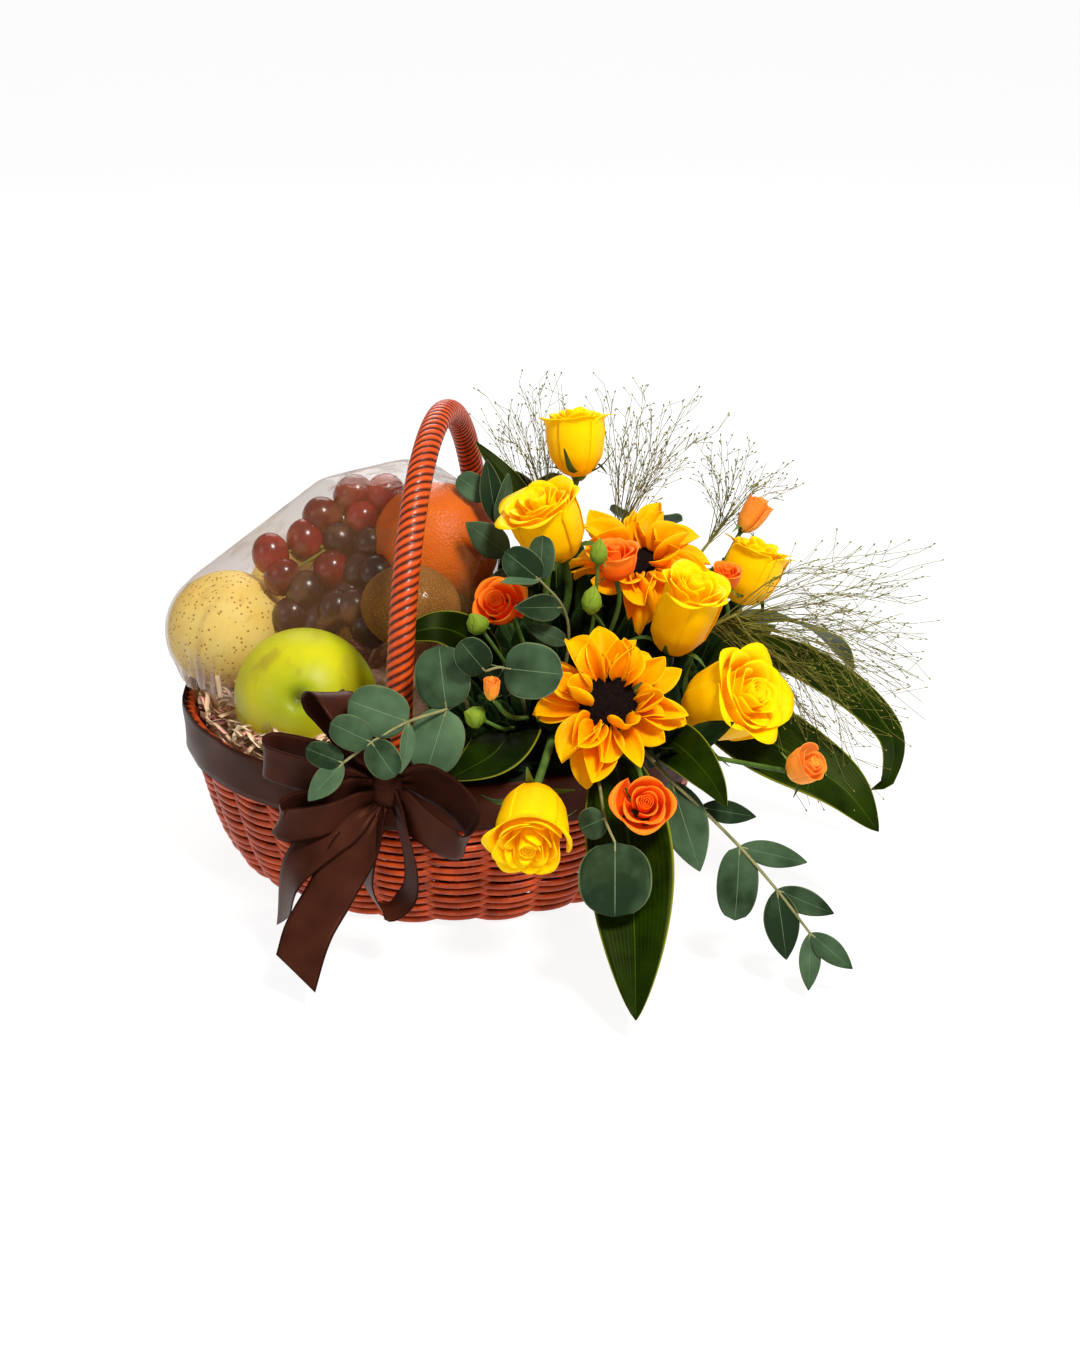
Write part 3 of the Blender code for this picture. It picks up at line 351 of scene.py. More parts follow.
# Round-leaved branches: stem points, facing, then each leaf's stem point, tip, width and own facing if any
EUCALYPTUS = (
    (((0.030, -0.080, 0.099), (0.034, -0.106, 0.130), (0.028, -0.126, 0.134),
      (0.012, -0.142, 0.133), (-0.004, -0.154, 0.126), (-0.017, -0.161, 0.117)), TO_VIEWER,
     ((3, (-0.016, -0.150, 0.146), 0.025),
      (4, (0.009, -0.160, 0.111), 0.017),
      (4, (-0.022, -0.163, 0.139), 0.017),
      (3, (0.010, -0.154, 0.110), 0.010, (0.8, -0.6, 0.1)),
      (2, (0.020, -0.140, 0.104), 0.028),
      (2, (0.023, -0.118, 0.165), 0.028),
      (5, (-0.034, -0.166, 0.126), 0.013),
      (5, (-0.032, -0.1735, 0.101), 0.013))),
    (((0.060, -0.070, 0.105), (0.060, -0.098, 0.136), (0.056, -0.118, 0.155),
      (0.047, -0.121, 0.154)), TO_VIEWER,
     ((2, (0.087, -0.126, 0.157), 0.028),
      (3, (0.036, -0.128, 0.172), 0.018),
      (2, (0.047, -0.104, 0.138), 0.020))),
    (((0.048, 0.002, 0.108), (0.044, 0.006, 0.150), (0.036, 0.008, 0.170),
      (0.028, 0.013, 0.186), (0.022, 0.021, 0.198)), TO_VIEWER,
     ((2, (0.015, -0.008, 0.193), 0.018),
      (1, (0.031, -0.014, 0.166), 0.016),
      (3, (0.021, 0.022, 0.220), 0.013),
      (3, (0.034, 0.018, 0.214), 0.010, (0.6, -0.7, 0.3)),
      (4, (0.004, 0.026, 0.208), 0.015),
      (1, (0.036, -0.012, 0.140), 0.018))),
    (((0.072, -0.046, 0.108), (0.080, -0.062, 0.148), (0.078, -0.068, 0.170),
      (0.067, -0.075, 0.187)), TO_VIEWER,
     ((3, (0.050, -0.080, 0.203), 0.018),
      (3, (0.067, -0.066, 0.208), 0.014),
      (3, (0.049, -0.087, 0.189), 0.008, (0.1, -0.5, 0.9)),
      (2, (0.056, -0.088, 0.176), 0.014),
      (1, (0.060, -0.078, 0.163), 0.010))),
    (((0.118, -0.076, 0.1005), (0.140, -0.108, 0.095), (0.156, -0.116, 0.085),
      (0.177, -0.123, 0.068), (0.197, -0.132, 0.050), (0.215, -0.143, 0.033)), TO_VIEWER,
     ((1, (0.158, -0.130, 0.056), 0.024),
      (2, (0.184, -0.112, 0.080), 0.012),
      (3, (0.177, -0.136, 0.033), 0.021),
      (3, (0.211, -0.119, 0.060), 0.013),
      (4, (0.204, -0.145, 0.018), 0.018),
      (4, (0.226, -0.130, 0.038), 0.013),
      (5, (0.216, -0.151, 0.005), 0.011),
      (5, (0.237, -0.147, 0.017), 0.012))),
    (((0.092, -0.078, 0.100), (0.104, -0.116, 0.0955), (0.112, -0.150, 0.092),
      (0.119, -0.164, 0.086)), TO_VIEWER,
     ((3, (0.122, -0.184, 0.056), 0.036),
      (2, (0.100, -0.152, 0.086), 0.016))),
    (((0.080, 0.060, 0.104), (0.086, 0.098, 0.138), (0.094, 0.130, 0.146),
      (0.099, 0.152, 0.140)), TO_BACK,
     ((1, (0.066, 0.106, 0.156), 0.026),
      (1, (0.112, 0.112, 0.156), 0.026),
      (2, (0.074, 0.140, 0.156), 0.024),
      (2, (0.118, 0.144, 0.150), 0.024),
      (3, (0.106, 0.178, 0.134), 0.022))),
    (((0.040, 0.050, 0.100), (0.036, 0.078, 0.148), (0.034, 0.092, 0.168)), TO_BACK,
     ((1, (0.018, 0.094, 0.158), 0.024),
      (1, (0.058, 0.092, 0.160), 0.024),
      (2, (0.020, 0.096, 0.190), 0.022),
      (2, (0.050, 0.098, 0.190), 0.020))),
)

# Grass plumes: foot, top of the stalk, heading, spread, length, droop and branches
GRASSES = (
    ((0.060, 0.045, 0.111), (0.047, 0.076, 0.176), (-0.30, 0.12, 0.95), 0.42, 0.074, 0.0, 28),
    ((0.078, 0.040, 0.112), (0.092, 0.066, 0.178), (0.30, 0.10, 0.95), 0.60, 0.076, 0.0, 32),
    ((0.100, 0.052, 0.107), (0.148, 0.106, 0.165), (0.25, 0.05, 0.95), 0.90, 0.046, 0.0, 24),
    ((0.112, 0.020, 0.108), (0.163, -0.008, 0.149), (0.95, -0.22, -0.16), 0.86, 0.112, 0.20, 72),
)


# Tools for shapes

def vec(values):
    return np.asarray(values, dtype=float)


def unit(vector):
    vector = vec(vector)
    return vector / np.linalg.norm(vector)


def circle(count):
    """Angles evenly spaced round a circle."""
    return np.arange(count) * math.tau / count


def line_length(line):
    return float(np.linalg.norm(np.diff(line, axis=0), axis=1).sum())


def smooth_line(points, count):
    """Catmull-Rom curve through the points, read at evenly spaced places along it."""
    points = [vec(point) for point in points]
    if len(points) == 2:
        points.insert(1, (points[0] + points[1]) / 2)
    guides = [2 * points[0] - points[1]] + points + [2 * points[-1] - points[-2]]
    dense = []
    for i in range(len(points) - 1):
        before, start, end, after = guides[i:i + 4]
        for t in np.linspace(0, 1, 24, endpoint=False):
            bend = (2 * before - 5 * start + 4 * end - after) * t * t
            twist = (3 * start - before - 3 * end + after) * t ** 3
            dense.append(0.5 * (2 * start + (end - before) * t + bend + twist))
    dense = np.array(dense + [points[-1]])
    steps = np.linalg.norm(np.diff(dense, axis=0), axis=1)
    travelled = np.concatenate([[0], np.cumsum(steps)])
    wanted = np.linspace(0, travelled[-1], count)
    return np.column_stack([np.interp(wanted, travelled, dense[:, axis]) for axis in range(3)])


def tangents(line):
    ahead = np.vstack([line[1:], line[-1:]])
    behind = np.vstack([line[:1], line[:-1]])
    steps = ahead - behind
    return steps / np.linalg.norm(steps, axis=1)[:, None]


def axes_about(axis):
    """The unit axis and two directions square to it."""
    axis = unit(axis)
    side = unit(np.cross(axis, (0.2, 0.9, 0.35)))
    return axis, side, np.cross(axis, side)


def outward(axes, angle):
    """Direction square to the axis, at an angle round it."""
    return math.cos(angle) * axes[1] + math.sin(angle) * axes[2]


def points_about(middle, axes, rise, reach, spin):
    """Points at a height along the axis and a reach out from it, at an angle round it."""
    axis, side, other = axes
    return (middle + rise[..., None] * axis + (reach * np.cos(spin))[..., None] * side
            + (reach * np.sin(spin))[..., None] * other)


class Shape:
    """Sheets of quads. Each point has a look: how far along, how far across, and a chance value."""

    def __init__(self):
        self.points, self.looks, self.faces = [], [], []
        self.count = 0

    def sheet(self, points, along=None, across=None, luck=0.5, wrap=False):
        points = vec(points)
        rows, columns = points.shape[:2]
        if along is None:
            along = np.linspace(0, 1, rows)[:, None]
        if across is None:
            across = np.linspace(-1, 1, columns)[None, :]
        look = np.empty((rows, columns, 3))
        look[..., 0] = along
        look[..., 1] = across
        look[..., 2] = luck
        index = self.count + np.arange(rows * columns).reshape(rows, columns)
        if wrap:
            index = np.hstack([index, index[:, :1]])
        quads = np.stack([index[:-1, :-1], index[:-1, 1:], index[1:, 1:], index[1:, :-1]], axis=-1)
        self.points.append(points.reshape(-1, 3))
        self.looks.append(look.reshape(-1, 3))
        self.faces.append(quads.reshape(-1, 4))
        self.count += rows * columns

    def tube(self, line, radii, sides=8, luck=0.5, closed_ends=True):
        """Round rod along a line of points; its ends close to their own middle."""
        line = vec(line)
        angles = circle(sides)
        side = unit(np.cross(tangents(line)[0], (0.31, 0.87, 0.38)))
        rings = []
        for centre, along, radius in zip(line, tangents(line), np.broadcast_to(vec(radii), (len(line),))):
            side = unit(side - along * np.dot(side, along))
            other = np.cross(along, side)
            rings.append(centre + radius * (np.cos(angles)[:, None] * side + np.sin(angles)[:, None] * other))
        shares = np.linspace(0, 1, len(line))
        if closed_ends:
            rings = [np.repeat(line[:1], sides, axis=0)] + rings + [np.repeat(line[-1:], sides, axis=0)]
            shares = np.concatenate([[0], shares, [1]])
        self.sheet(rings, along=shares[:, None], luck=luck, wrap=True)

    def ball(self, middle, half_sizes, axis=(0, 0, 1), rows=16, columns=24, dent=0.0, luck=0.5, ends=0.0,
             dent_width=0.42):
        """Round body about an axis; dent sinks a dimple into its top, and ends into both ends."""
        axis, side, other = axes_about(axis)
        lean = np.linspace(0, math.pi, rows + 1)[:, None]
        turn = circle(columns)[None, :]
        sink = dent * np.exp(-(lean / dent_width) ** 2) + ends * np.exp(-((math.pi - lean) / 0.40) ** 2)
        out = np.sin(lean) * (1 + 0 * turn)
        high = np.cos(lean) * (1 - sink) + 0 * turn
        points = (vec(middle) + (out * np.cos(turn) * half_sizes[0])[..., None] * side
                  + (out * np.sin(turn) * half_sizes[1])[..., None] * other
                  + (high * half_sizes[2])[..., None] * axis)
        self.sheet(points, along=lean / math.pi, across=turn / math.pi - 1, luck=luck, wrap=True)


def make_piece(name, shape, surface, nodes=(), thickness=0.0):
    """One mesh object from a shape, with its material, riding on the body of the part."""
    mesh = bpy.data.meshes.new(name)
    mesh.from_pydata(np.concatenate(shape.points).tolist(), [], np.concatenate(shape.faces).tolist())
    look = mesh.attributes.new("look", "FLOAT_VECTOR", "POINT")
    look.data.foreach_set("vector", np.concatenate(shape.looks).astype(np.float32).ravel())
    work = bmesh.new()
    work.from_mesh(mesh)
    bmesh.ops.remove_doubles(work, verts=work.verts, dist=1e-7)
    bmesh.ops.recalc_face_normals(work, faces=work.faces)
    work.to_mesh(mesh)
    work.free()
    mesh.shade_smooth()
    mesh.materials.append(surface)
    made = bpy.data.objects.new(name, mesh)
    bpy.context.scene.collection.objects.link(made)
    if thickness:
        solidify = made.modifiers.new("Thickness", "SOLIDIFY")
        solidify.thickness = thickness
        solidify.offset = 0.0
    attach(made, "root")
    if nodes:
        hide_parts(*nodes)
    return made


# Tools for materials

def linear(colour):
    """Screen colour from 0 to 255 as the linear colour that a shader takes."""
    shares = [value / 255 for value in colour]
    return tuple(s / 12.92 if s <= 0.04045 else ((s + 0.055) / 1.055) ** 2.4 for s in shares) + (1.0,)


class Paint:
    """A material and the nodes that colour it."""

    def __init__(self, name, roughness, specular):
        self.made = bpy.data.materials.new(name)
        self.made.use_nodes = True
        self.tree = self.made.node_tree
        self.shader = self.tree.nodes["Principled BSDF"]
        self.shader.inputs["Roughness"].default_value = roughness
        self.shader.inputs["Specular IOR Level"].default_value = specular
        self.place = self.node("TexCoord").outputs["Object"]
        self.look = self.node("Attribute", attribute_name="look").outputs["Vector"]
        parts = self.node("SeparateXYZ")
        self.join(self.look, parts.inputs[0])
        self.along, self.across, self.luck = parts.outputs

    def node(self, kind, **settings):
        made = self.tree.nodes.new("ShaderNode" + kind)
        for key, value in settings.items():
            setattr(made, key, value)
        return made

    def join(self, value, socket):
        if isinstance(value, bpy.types.NodeSocket):
            self.tree.links.new(value, socket)
        else:
            socket.default_value = value

    def math(self, operation, first, second=0.5, clamp=False):
        made = self.node("Math", operation=operation, use_clamp=clamp)
        self.join(first, made.inputs[0])
        self.join(second, made.inputs[1])
        return made.outputs[0]

    def times(self, first, second):
        return self.math("MULTIPLY", first, second)

    def plus(self, first, second, clamp=False):
        return self.math("ADD", first, second, clamp)

    def swing(self, value, amount):
        """A value from 0 to 1 as one that swings about 0, by the amount from end to end."""
        return self.times(self.math("SUBTRACT", value, 0.5), amount)

    def stretched(self, scales, source=None):
        made = self.node("VectorMath", operation="MULTIPLY")
        self.join(source or self.place, made.inputs[0])
        self.join(scales, made.inputs[1])
        return made.outputs[0]

    def noise(self, scale, detail=2.0, source=None):
        made = self.node("TexNoise")
        self.join(source or self.place, made.inputs["Vector"])
        self.join(scale, made.inputs["Scale"])
        self.join(detail, made.inputs["Detail"])
        return made.outputs[0]

    def cells(self, scale):
        made = self.node("TexVoronoi")
        self.join(self.place, made.inputs["Vector"])
        self.join(scale, made.inputs["Scale"])
        return made.outputs["Distance"]

    def ramp(self, factor, *stops):
        made = self.node("ValToRGB")
        self.join(factor, made.inputs[0])
        marks = made.color_ramp.elements
        while len(marks) < len(stops):
            marks.new(0.5)
        for mark, (place, colour) in zip(marks, stops):
            mark.position = place
            mark.color = linear(colour)
        return made.outputs[0]

    def steps(self, factor, low, high):
        """0 below low, 1 above high, smooth between."""
        made = self.node("MapRange", interpolation_type="SMOOTHSTEP")
        self.join(factor, made.inputs[0])
        self.join(low, made.inputs[1])
        self.join(high, made.inputs[2])
        return made.outputs[0]

    def mix(self, factor, first, second):
        made = self.node("Mix", data_type="RGBA")
        self.join(factor, made.inputs[0])
        self.join(linear(first) if isinstance(first, tuple) else first, made.inputs[6])
        self.join(linear(second) if isinstance(second, tuple) else second, made.inputs[7])
        return made.outputs[2]

    def bump(self, height, distance, strength):
        made = self.node("Bump")
        self.join(strength, made.inputs["Strength"])
        self.join(distance, made.inputs["Distance"])
        self.join(height, made.inputs["Height"])
        self.join(made.outputs[0], self.shader.inputs["Normal"])

    def colour(self, value):
        self.join(linear(value) if isinstance(value, tuple) else value, self.shader.inputs["Base Color"])

    def set(self, name, value):
        self.join(value, self.shader.inputs[name])


def wicker_paint(name, light, dark):
    """Stained cane: streaks along the strand, with painted shade where it dips in behind a stake or into a
    groove.
    """
    paint = Paint(name, roughness=0.42, specular=0.25)
    streaks = paint.noise(1.0, 3.0, paint.stretched((60.0, 1.2, 20.0), paint.look))
    blotches = paint.noise(90.0, 3.0)
    tone = paint.plus(paint.times(streaks, 0.5), paint.times(blotches, 0.5))
    body = paint.ramp(tone, (0.30, dark), (0.62, light))
    # Painted shade: the strand darkens to a near-black copy of its dark colour where it dips behind a stake
    # or into a groove between wraps.
    groove_and_shade = paint.steps(paint.across, 0.15, 1.0)
    paint.colour(paint.mix(groove_and_shade, body, tuple(value * 0.12 for value in dark)))
    paint.bump(paint.noise(900.0, 2.0), 0.0002, 0.5)
    paint.set("Coat Weight", 0.15)
    paint.set("Coat Roughness", 0.18)
    return paint.made


def ribbon_paint():
    """Satin: fine threads across the ribbon under a soft, warm gloss."""
    paint = Paint("satin_ribbon", roughness=0.38, specular=0.12)
    edge = paint.steps(paint.math("ABSOLUTE", paint.across), 0.90, 0.96)
    body = paint.ramp(paint.noise(40.0, 2.0), (0.35, (46, 21, 13)), (0.65, (68, 34, 24)))
    paint.colour(paint.mix(edge, body, (38, 16, 10)))
    paint.set("Specular Tint", linear((255, 165, 125)))
    threads = paint.noise(1.0, 2.0, paint.stretched((900.0, 4.0, 1.0), paint.look))
    paint.bump(threads, 0.0001, 0.35)
    return paint.made


def petal_paint(name, tip, middle, foot, edge, veins=40.0):
    """Petal: deeper colour at the foot, partly the petal's own and partly painted shade in the flower's
    depths, fine veins along it, a paler rim, light let through, and a faint painted glow in the foot colour
    that warms its shaded parts.
    """
    paint = Paint(name, roughness=0.5, specular=0.20)
    vein = paint.noise(1.0, 2.0, paint.stretched((1.5, veins, 3.0), paint.look))
    shifted = paint.plus(paint.along, paint.swing(paint.noise(70.0, 2.0), 0.35))
    # The deeper foot colour is partly the petal's own and partly painted shade deep in the flower.
    body = paint.ramp(shifted, (0.10, foot), (0.50, middle), (0.90, tip))
    rim = paint.times(paint.steps(paint.math("ABSOLUTE", paint.across), 0.90, 1.0), 0.5)
    body = paint.mix(rim, body, edge)
    shade = paint.times(paint.steps(vein, 0.45, 0.75), 0.30)
    paint.colour(paint.mix(shade, body, middle))
    paint.bump(vein, 0.0003, 0.3)
    paint.set("Specular Tint", linear((255, 215, 130)))
    paint.set("Subsurface Weight", 0.25)
    paint.set("Subsurface Radius", (1.0, 0.45, 0.08))
    paint.set("Subsurface Scale", 0.005)
    # Painted glow: a faint emission of the foot colour that warms the shaded parts of the petal.
    paint.set("Emission Color", linear(foot))
    paint.set("Emission Strength", 0.10)
    return paint.made


def leaf_paint(name, light, dark, rib, edge, roughness, rib_width, veins, slant):
    """Leaf: a rib down the middle, side veins that slant from it, and a fine edge."""
    paint = Paint(name, roughness=roughness, specular=0.10)
    away = paint.math("ABSOLUTE", paint.across)
    slanted = paint.math("SUBTRACT", paint.along, paint.times(away, slant))
    wave = paint.math("SINE", paint.times(slanted, veins))
    cloud = paint.noise(60.0, 3.0)
    tone = paint.plus(paint.times(cloud, 0.8), paint.times(wave, 0.05))
    body = paint.ramp(paint.plus(tone, paint.swing(paint.luck, 0.5)), (0.20, dark), (0.75, light))
    body = paint.mix(paint.steps(away, rib_width, 0.0), body, rib)
    paint.colour(paint.mix(paint.steps(away, 0.93, 1.0), body, edge))
    paint.bump(paint.plus(paint.times(wave, 0.08), cloud), 0.0004, 0.4)
    paint.set("Specular Tint", linear((205, 225, 130)))
    return paint.made


def skin_paint(name, light, dark, roughness, spots=None, spot_scale=300.0, bump=0.0, bump_scale=400.0):
    """Fruit skin: cloudy colour, with dots or pores where it has them."""
    paint = Paint(name, roughness=roughness, specular=0.22)
    body = paint.ramp(paint.noise(35.0, 3.0), (0.30, dark), (0.70, light))
    if spots:
        body = paint.mix(paint.steps(paint.cells(spot_scale), 0.28, 0.17), body, spots)
    paint.colour(body)
    if bump:
        paint.bump(paint.cells(bump_scale), bump, 0.6)
    return paint.made


def apple_paint():
    """Green apple: yellow on the side, green round the dimple and towards the far end, with painted shade at
    the very middle of the dimple.
    """
    paint = Paint("apple_skin", roughness=0.42, specular=0.25)
    rays = paint.noise(1.0, 2.0, paint.stretched((1.0, 14.0, 1.0), paint.look))
    sway = paint.plus(paint.swing(rays, 0.06), paint.swing(paint.noise(28.0, 2.0), 0.14))
    place = paint.plus(paint.along, paint.times(sway, paint.steps(paint.along, 0.03, 0.12)))
    # The darkest stop at the very middle, fading out by the next, is painted shade in the stem hollow; the
    # greens further out are the skin's own.
    paint.colour(paint.ramp(place, (0.00, (58, 58, 8)), (0.020, (112, 128, 6)), (0.05, (164, 182, 2)),
                            (0.25, (224, 224, 0)), (0.50, (194, 206, 4)), (0.85, (134, 162, 18))))
    return paint.made


def film_paint():
    """Clear film: see-through, hazier in creases, at glancing angles and where it gathers at the rim."""
    paint = Paint("clear_film", roughness=0.12, specular=0.5)
    streak = paint.noise(1.0, 4.0, paint.stretched((60.0, 60.0, 14.0)))
    crease = paint.steps(streak, 0.54, 0.70)
    view = paint.node("LayerWeight")
    view.inputs[0].default_value = 0.30
    side = paint.times(view.outputs["Facing"], 0.56)
    height = paint.node("SeparateXYZ")
    paint.join(paint.place, height.inputs[0])
    low = paint.steps(height.outputs[2], 0.126, 0.098)
    gathered = paint.times(low, paint.plus(paint.times(crease, 0.55), 0.08))
    haze = paint.plus(paint.times(crease, 0.20), paint.plus(side, 0.11))
    paint.set("Alpha", paint.plus(haze, gathered, clamp=True))
    paint.colour((132, 90, 52))
    paint.bump(streak, 0.0024, 0.8)
    return paint.made


def plain_paint(name, light, dark, roughness, scale=80.0, specular=0.15):
    """Cloudy colour that also differs from one leaf, strip or berry to the next."""
    paint = Paint(name, roughness=roughness, specular=specular)
    cloud = paint.noise(scale, 3.0)
    paint.colour(paint.ramp(paint.plus(cloud, paint.swing(paint.luck, 0.5)), (0.30, dark), (0.70, light)))
    paint.bump(cloud, 0.0003, 0.4)
    return paint.made


# Basket, handle and ribbon

def wall_half_sizes(height):
    """The wall's half length and half width: rounded at the bottom, near upright at the rim."""
    share = (height / RIM_HEIGHT) ** WALL_CURVE
    return (BASE_HALF_LENGTH + (RIM_HALF_LENGTH - BASE_HALF_LENGTH) * share,
            BASE_HALF_WIDTH + (RIM_HALF_WIDTH - BASE_HALF_WIDTH) * share)


def woven_ring(shape, half_length, half_width, height, row, half_height):
    """One strand round the oval, in front of every second stake and behind the others."""
    angles = circle(STAKES * STRAND_STEPS)
    section = circle(STRAND_SIDES)
    swing = np.cos(angles * STAKES / 2) * (1 if row % 2 else -1)
    swing = np.sign(swing) * np.abs(swing) ** 0.7 * WEAVE_SWING
    inset = WALL_INSET - swing[:, None] - STRAND_HALF_DEPTH * np.cos(section)[None, :]
    wobble = STRAND_WOBBLE * np.sin(angles * 5 + row * 1.7) - STRAND_DIP * swing / WEAVE_SWING
    points = np.empty((len(angles), STRAND_SIDES, 3))
    points[..., 0] = (half_length - inset) * np.cos(angles)[:, None]
    points[..., 1] = (half_width - inset) * np.sin(angles)[:, None]
    points[..., 2] = height + wobble[:, None] + half_height * np.sin(section)[None, :]
    looped = np.concatenate([points, points[:1]])
    # dip: how far the strand passes behind the stakes, where the paint darkens it as painted shade.
    dip = np.concatenate([-swing, -swing[:1]])[:, None] / WEAVE_SWING
    shape.sheet(looped, along=np.linspace(0, 1, len(looped))[:, None] + row * 0.37, across=dip,
                luck=chance.random(), wrap=True)


def build_basket():
    """Woven wall and floor on upright stakes, with two strands twisted round each other as the rim."""
    weave = Shape()
    for row in range(int((RIM_HEIGHT - RIM_BORDER) / ROW_PITCH)):
        height = FIRST_ROW_HEIGHT + row * ROW_PITCH
        woven_ring(weave, *wall_half_sizes(height), height, row, STRAND_HALF_HEIGHT)
    for row in range(FLOOR_ROWS):
        share = 0.97 - 0.073 * row
        woven_ring(weave, BASE_HALF_LENGTH * share + WALL_INSET, BASE_HALF_WIDTH * share + WALL_INSET,
                   FLOOR_HEIGHT, row, FLOOR_STRAND_HALF_HEIGHT)
    for angle in circle(STAKES):
        line = []
        for height in np.linspace(WALL_INSET, RIM_HEIGHT - WALL_INSET, 8):
            half_length, half_width = wall_half_sizes(height)
            line.append(((half_length - WALL_INSET) * math.cos(angle),
                         (half_width - WALL_INSET) * math.sin(angle), height))
        weave.tube(line, STAKE_RADIUS, sides=6, luck=chance.random())
    for start in (0.0, math.pi):
        turns = np.linspace(0, math.tau, 361)
        roll = turns * RIM_TWISTS + start
        out = RIM_STRAND_RADIUS * np.cos(roll) - RIM_STRAND_INSET
        line = np.column_stack([(RIM_HALF_LENGTH + out) * np.cos(turns),
                                (RIM_HALF_WIDTH + out) * np.sin(turns),
                                RIM_HEIGHT - WALL_INSET + RIM_STRAND_LIFT * np.sin(roll)])
        weave.tube(line, RIM_STRAND_RADIUS, sides=6, luck=chance.random())
    make_piece("basket_weave", weave, wicker_paint("stained_wicker", (202, 74, 14), (112, 28, 0)),
               ["basket"])


def build_handle():
    """Cane hoop with strands wound round it side by side."""
    hoop = [(0.0, -HANDLE_HALF_SPAN * math.cos(angle), RIM_HEIGHT + HANDLE_RISE * math.sin(angle))
            for angle in np.linspace(0, math.pi, 25)]
    feet = [(0.0, side * (HANDLE_HALF_SPAN - HANDLE_FOOT_LEAN), HANDLE_FOOT_HEIGHT) for side in (-1, 1)]
    rings, sides = 1150, 32
    line = smooth_line([feet[0]] + hoop + [feet[1]], rings)
    travelled = np.linspace(0, line_length(line), rings)
    angles = circle(sides)
    phase = travelled[:, None] / WRAP_PITCH - WRAP_STARTS * angles[None, :] / math.tau
    groove_and_shade = np.abs(2 * (phase % 1.0) - 1)
    radius = HANDLE_RADIUS - WRAP_DEPTH * groove_and_shade ** 7
    side = np.tile((1.0, 0.0, 0.0), (rings, 1))
    other = np.cross(tangents(line), side)
    points = (line[:, None, :] + (radius * np.cos(angles))[..., None] * side[:, None, :]
              + (radius * np.sin(angles))[..., None] * other[:, None, :])
    points = np.concatenate([np.tile(line[0], (1, sides, 1)), points, np.tile(line[-1], (1, sides, 1))])
    groove_and_shade = np.concatenate([groove_and_shade[:1], groove_and_shade, groove_and_shade[-1:]])
    wrap = Shape()
    # across carries the groove depth, where the paint darkens the cane as painted shade.
    wrap.sheet(points, along=np.linspace(0, 40, rings + 2)[:, None], across=groove_and_shade, wrap=True)
    make_piece("handle_wrap", wrap, wicker_paint("stained_cane", (222, 84, 18), (188, 58, 6)),
               ["handle"])


def build_band(satin):
    """Ribbon wound once round the rim, with soft waves."""
    rows = 9
    turns = circle(240)
    share = np.linspace(-1, 1, rows)[:, None]
    wave = BAND_WAVE * np.sin(9 * turns + 2.2 * share) + BAND_RIPPLE * np.sin(23 * turns - 3 * share)
    bulge = BAND_GAP + wave - BAND_CROWN * share ** 2
    points = np.empty((rows, len(turns), 3))
    points[..., 0] = (RIM_HALF_LENGTH + bulge) * np.cos(turns)
    points[..., 1] = (RIM_HALF_WIDTH + bulge) * np.sin(turns)
    points[..., 2] = (BAND_BOTTOM + BAND_TOP) / 2 + share * (BAND_TOP - BAND_BOTTOM) / 2
    points[..., 2] += BAND_SWAY * np.sin(5 * turns + 1.0)
    band = Shape()
    band.sheet(points, along=(turns * 10)[None, :], across=share, wrap=True)
    made = make_piece("band_ribbon", band, satin, ["ribbon_band"], thickness=RIBBON_THICKNESS)


def ribbon_strip(shape, points, width, across, is_loop, slant=0.0):
    """Ribbon along a smooth line, pleated at the knot, that turns from one way across to the other.

    A loop is pleated at both ends. A tail's free end is cut at a slant. Returns the strip's flat area.
    """
    rows, columns = 72, 11
    first, last = (unit(way) for way in across)
    line = smooth_line(points, rows)
    share = np.linspace(0, 1, rows)
    from_knot = np.minimum(share, 1 - share) * 2 if is_loop else share
    opened = np.clip(from_knot / PLEATED_SHARE, 0, 1)
    opened = opened * opened * (3 - 2 * opened)
    half = width / 2 * (PLEATED_WIDTH + (1 - PLEATED_WIDTH) * opened)
    u = np.linspace(-1, 1, columns)
    grid = []
    for i, (centre, along) in enumerate(zip(line, tangents(line))):
        way = first + (last - first) * share[i]
        crosswise = unit(way - along * np.dot(way, along))
        normal = np.cross(along, crosswise)
        pleat = (1 - opened[i]) * PLEAT_DEPTH * np.cos(u * 3 * math.pi)
        cup = RIBBON_CUP * width * (u ** 2 - 0.5) * opened[i]
        grid.append(centre + (half[i] * u)[:, None] * crosswise + (pleat + cup)[:, None] * normal)
    reach = np.clip((share - 0.75) / 0.25, 0, 1)[:, None] * (slant * width * u / 2)[None, :]
    grid = np.array(grid) + reach[..., None] * tangents(line)[-1]
    shape.sheet(grid, along=share[:, None], luck=chance.random())
    return line_length(line) * width


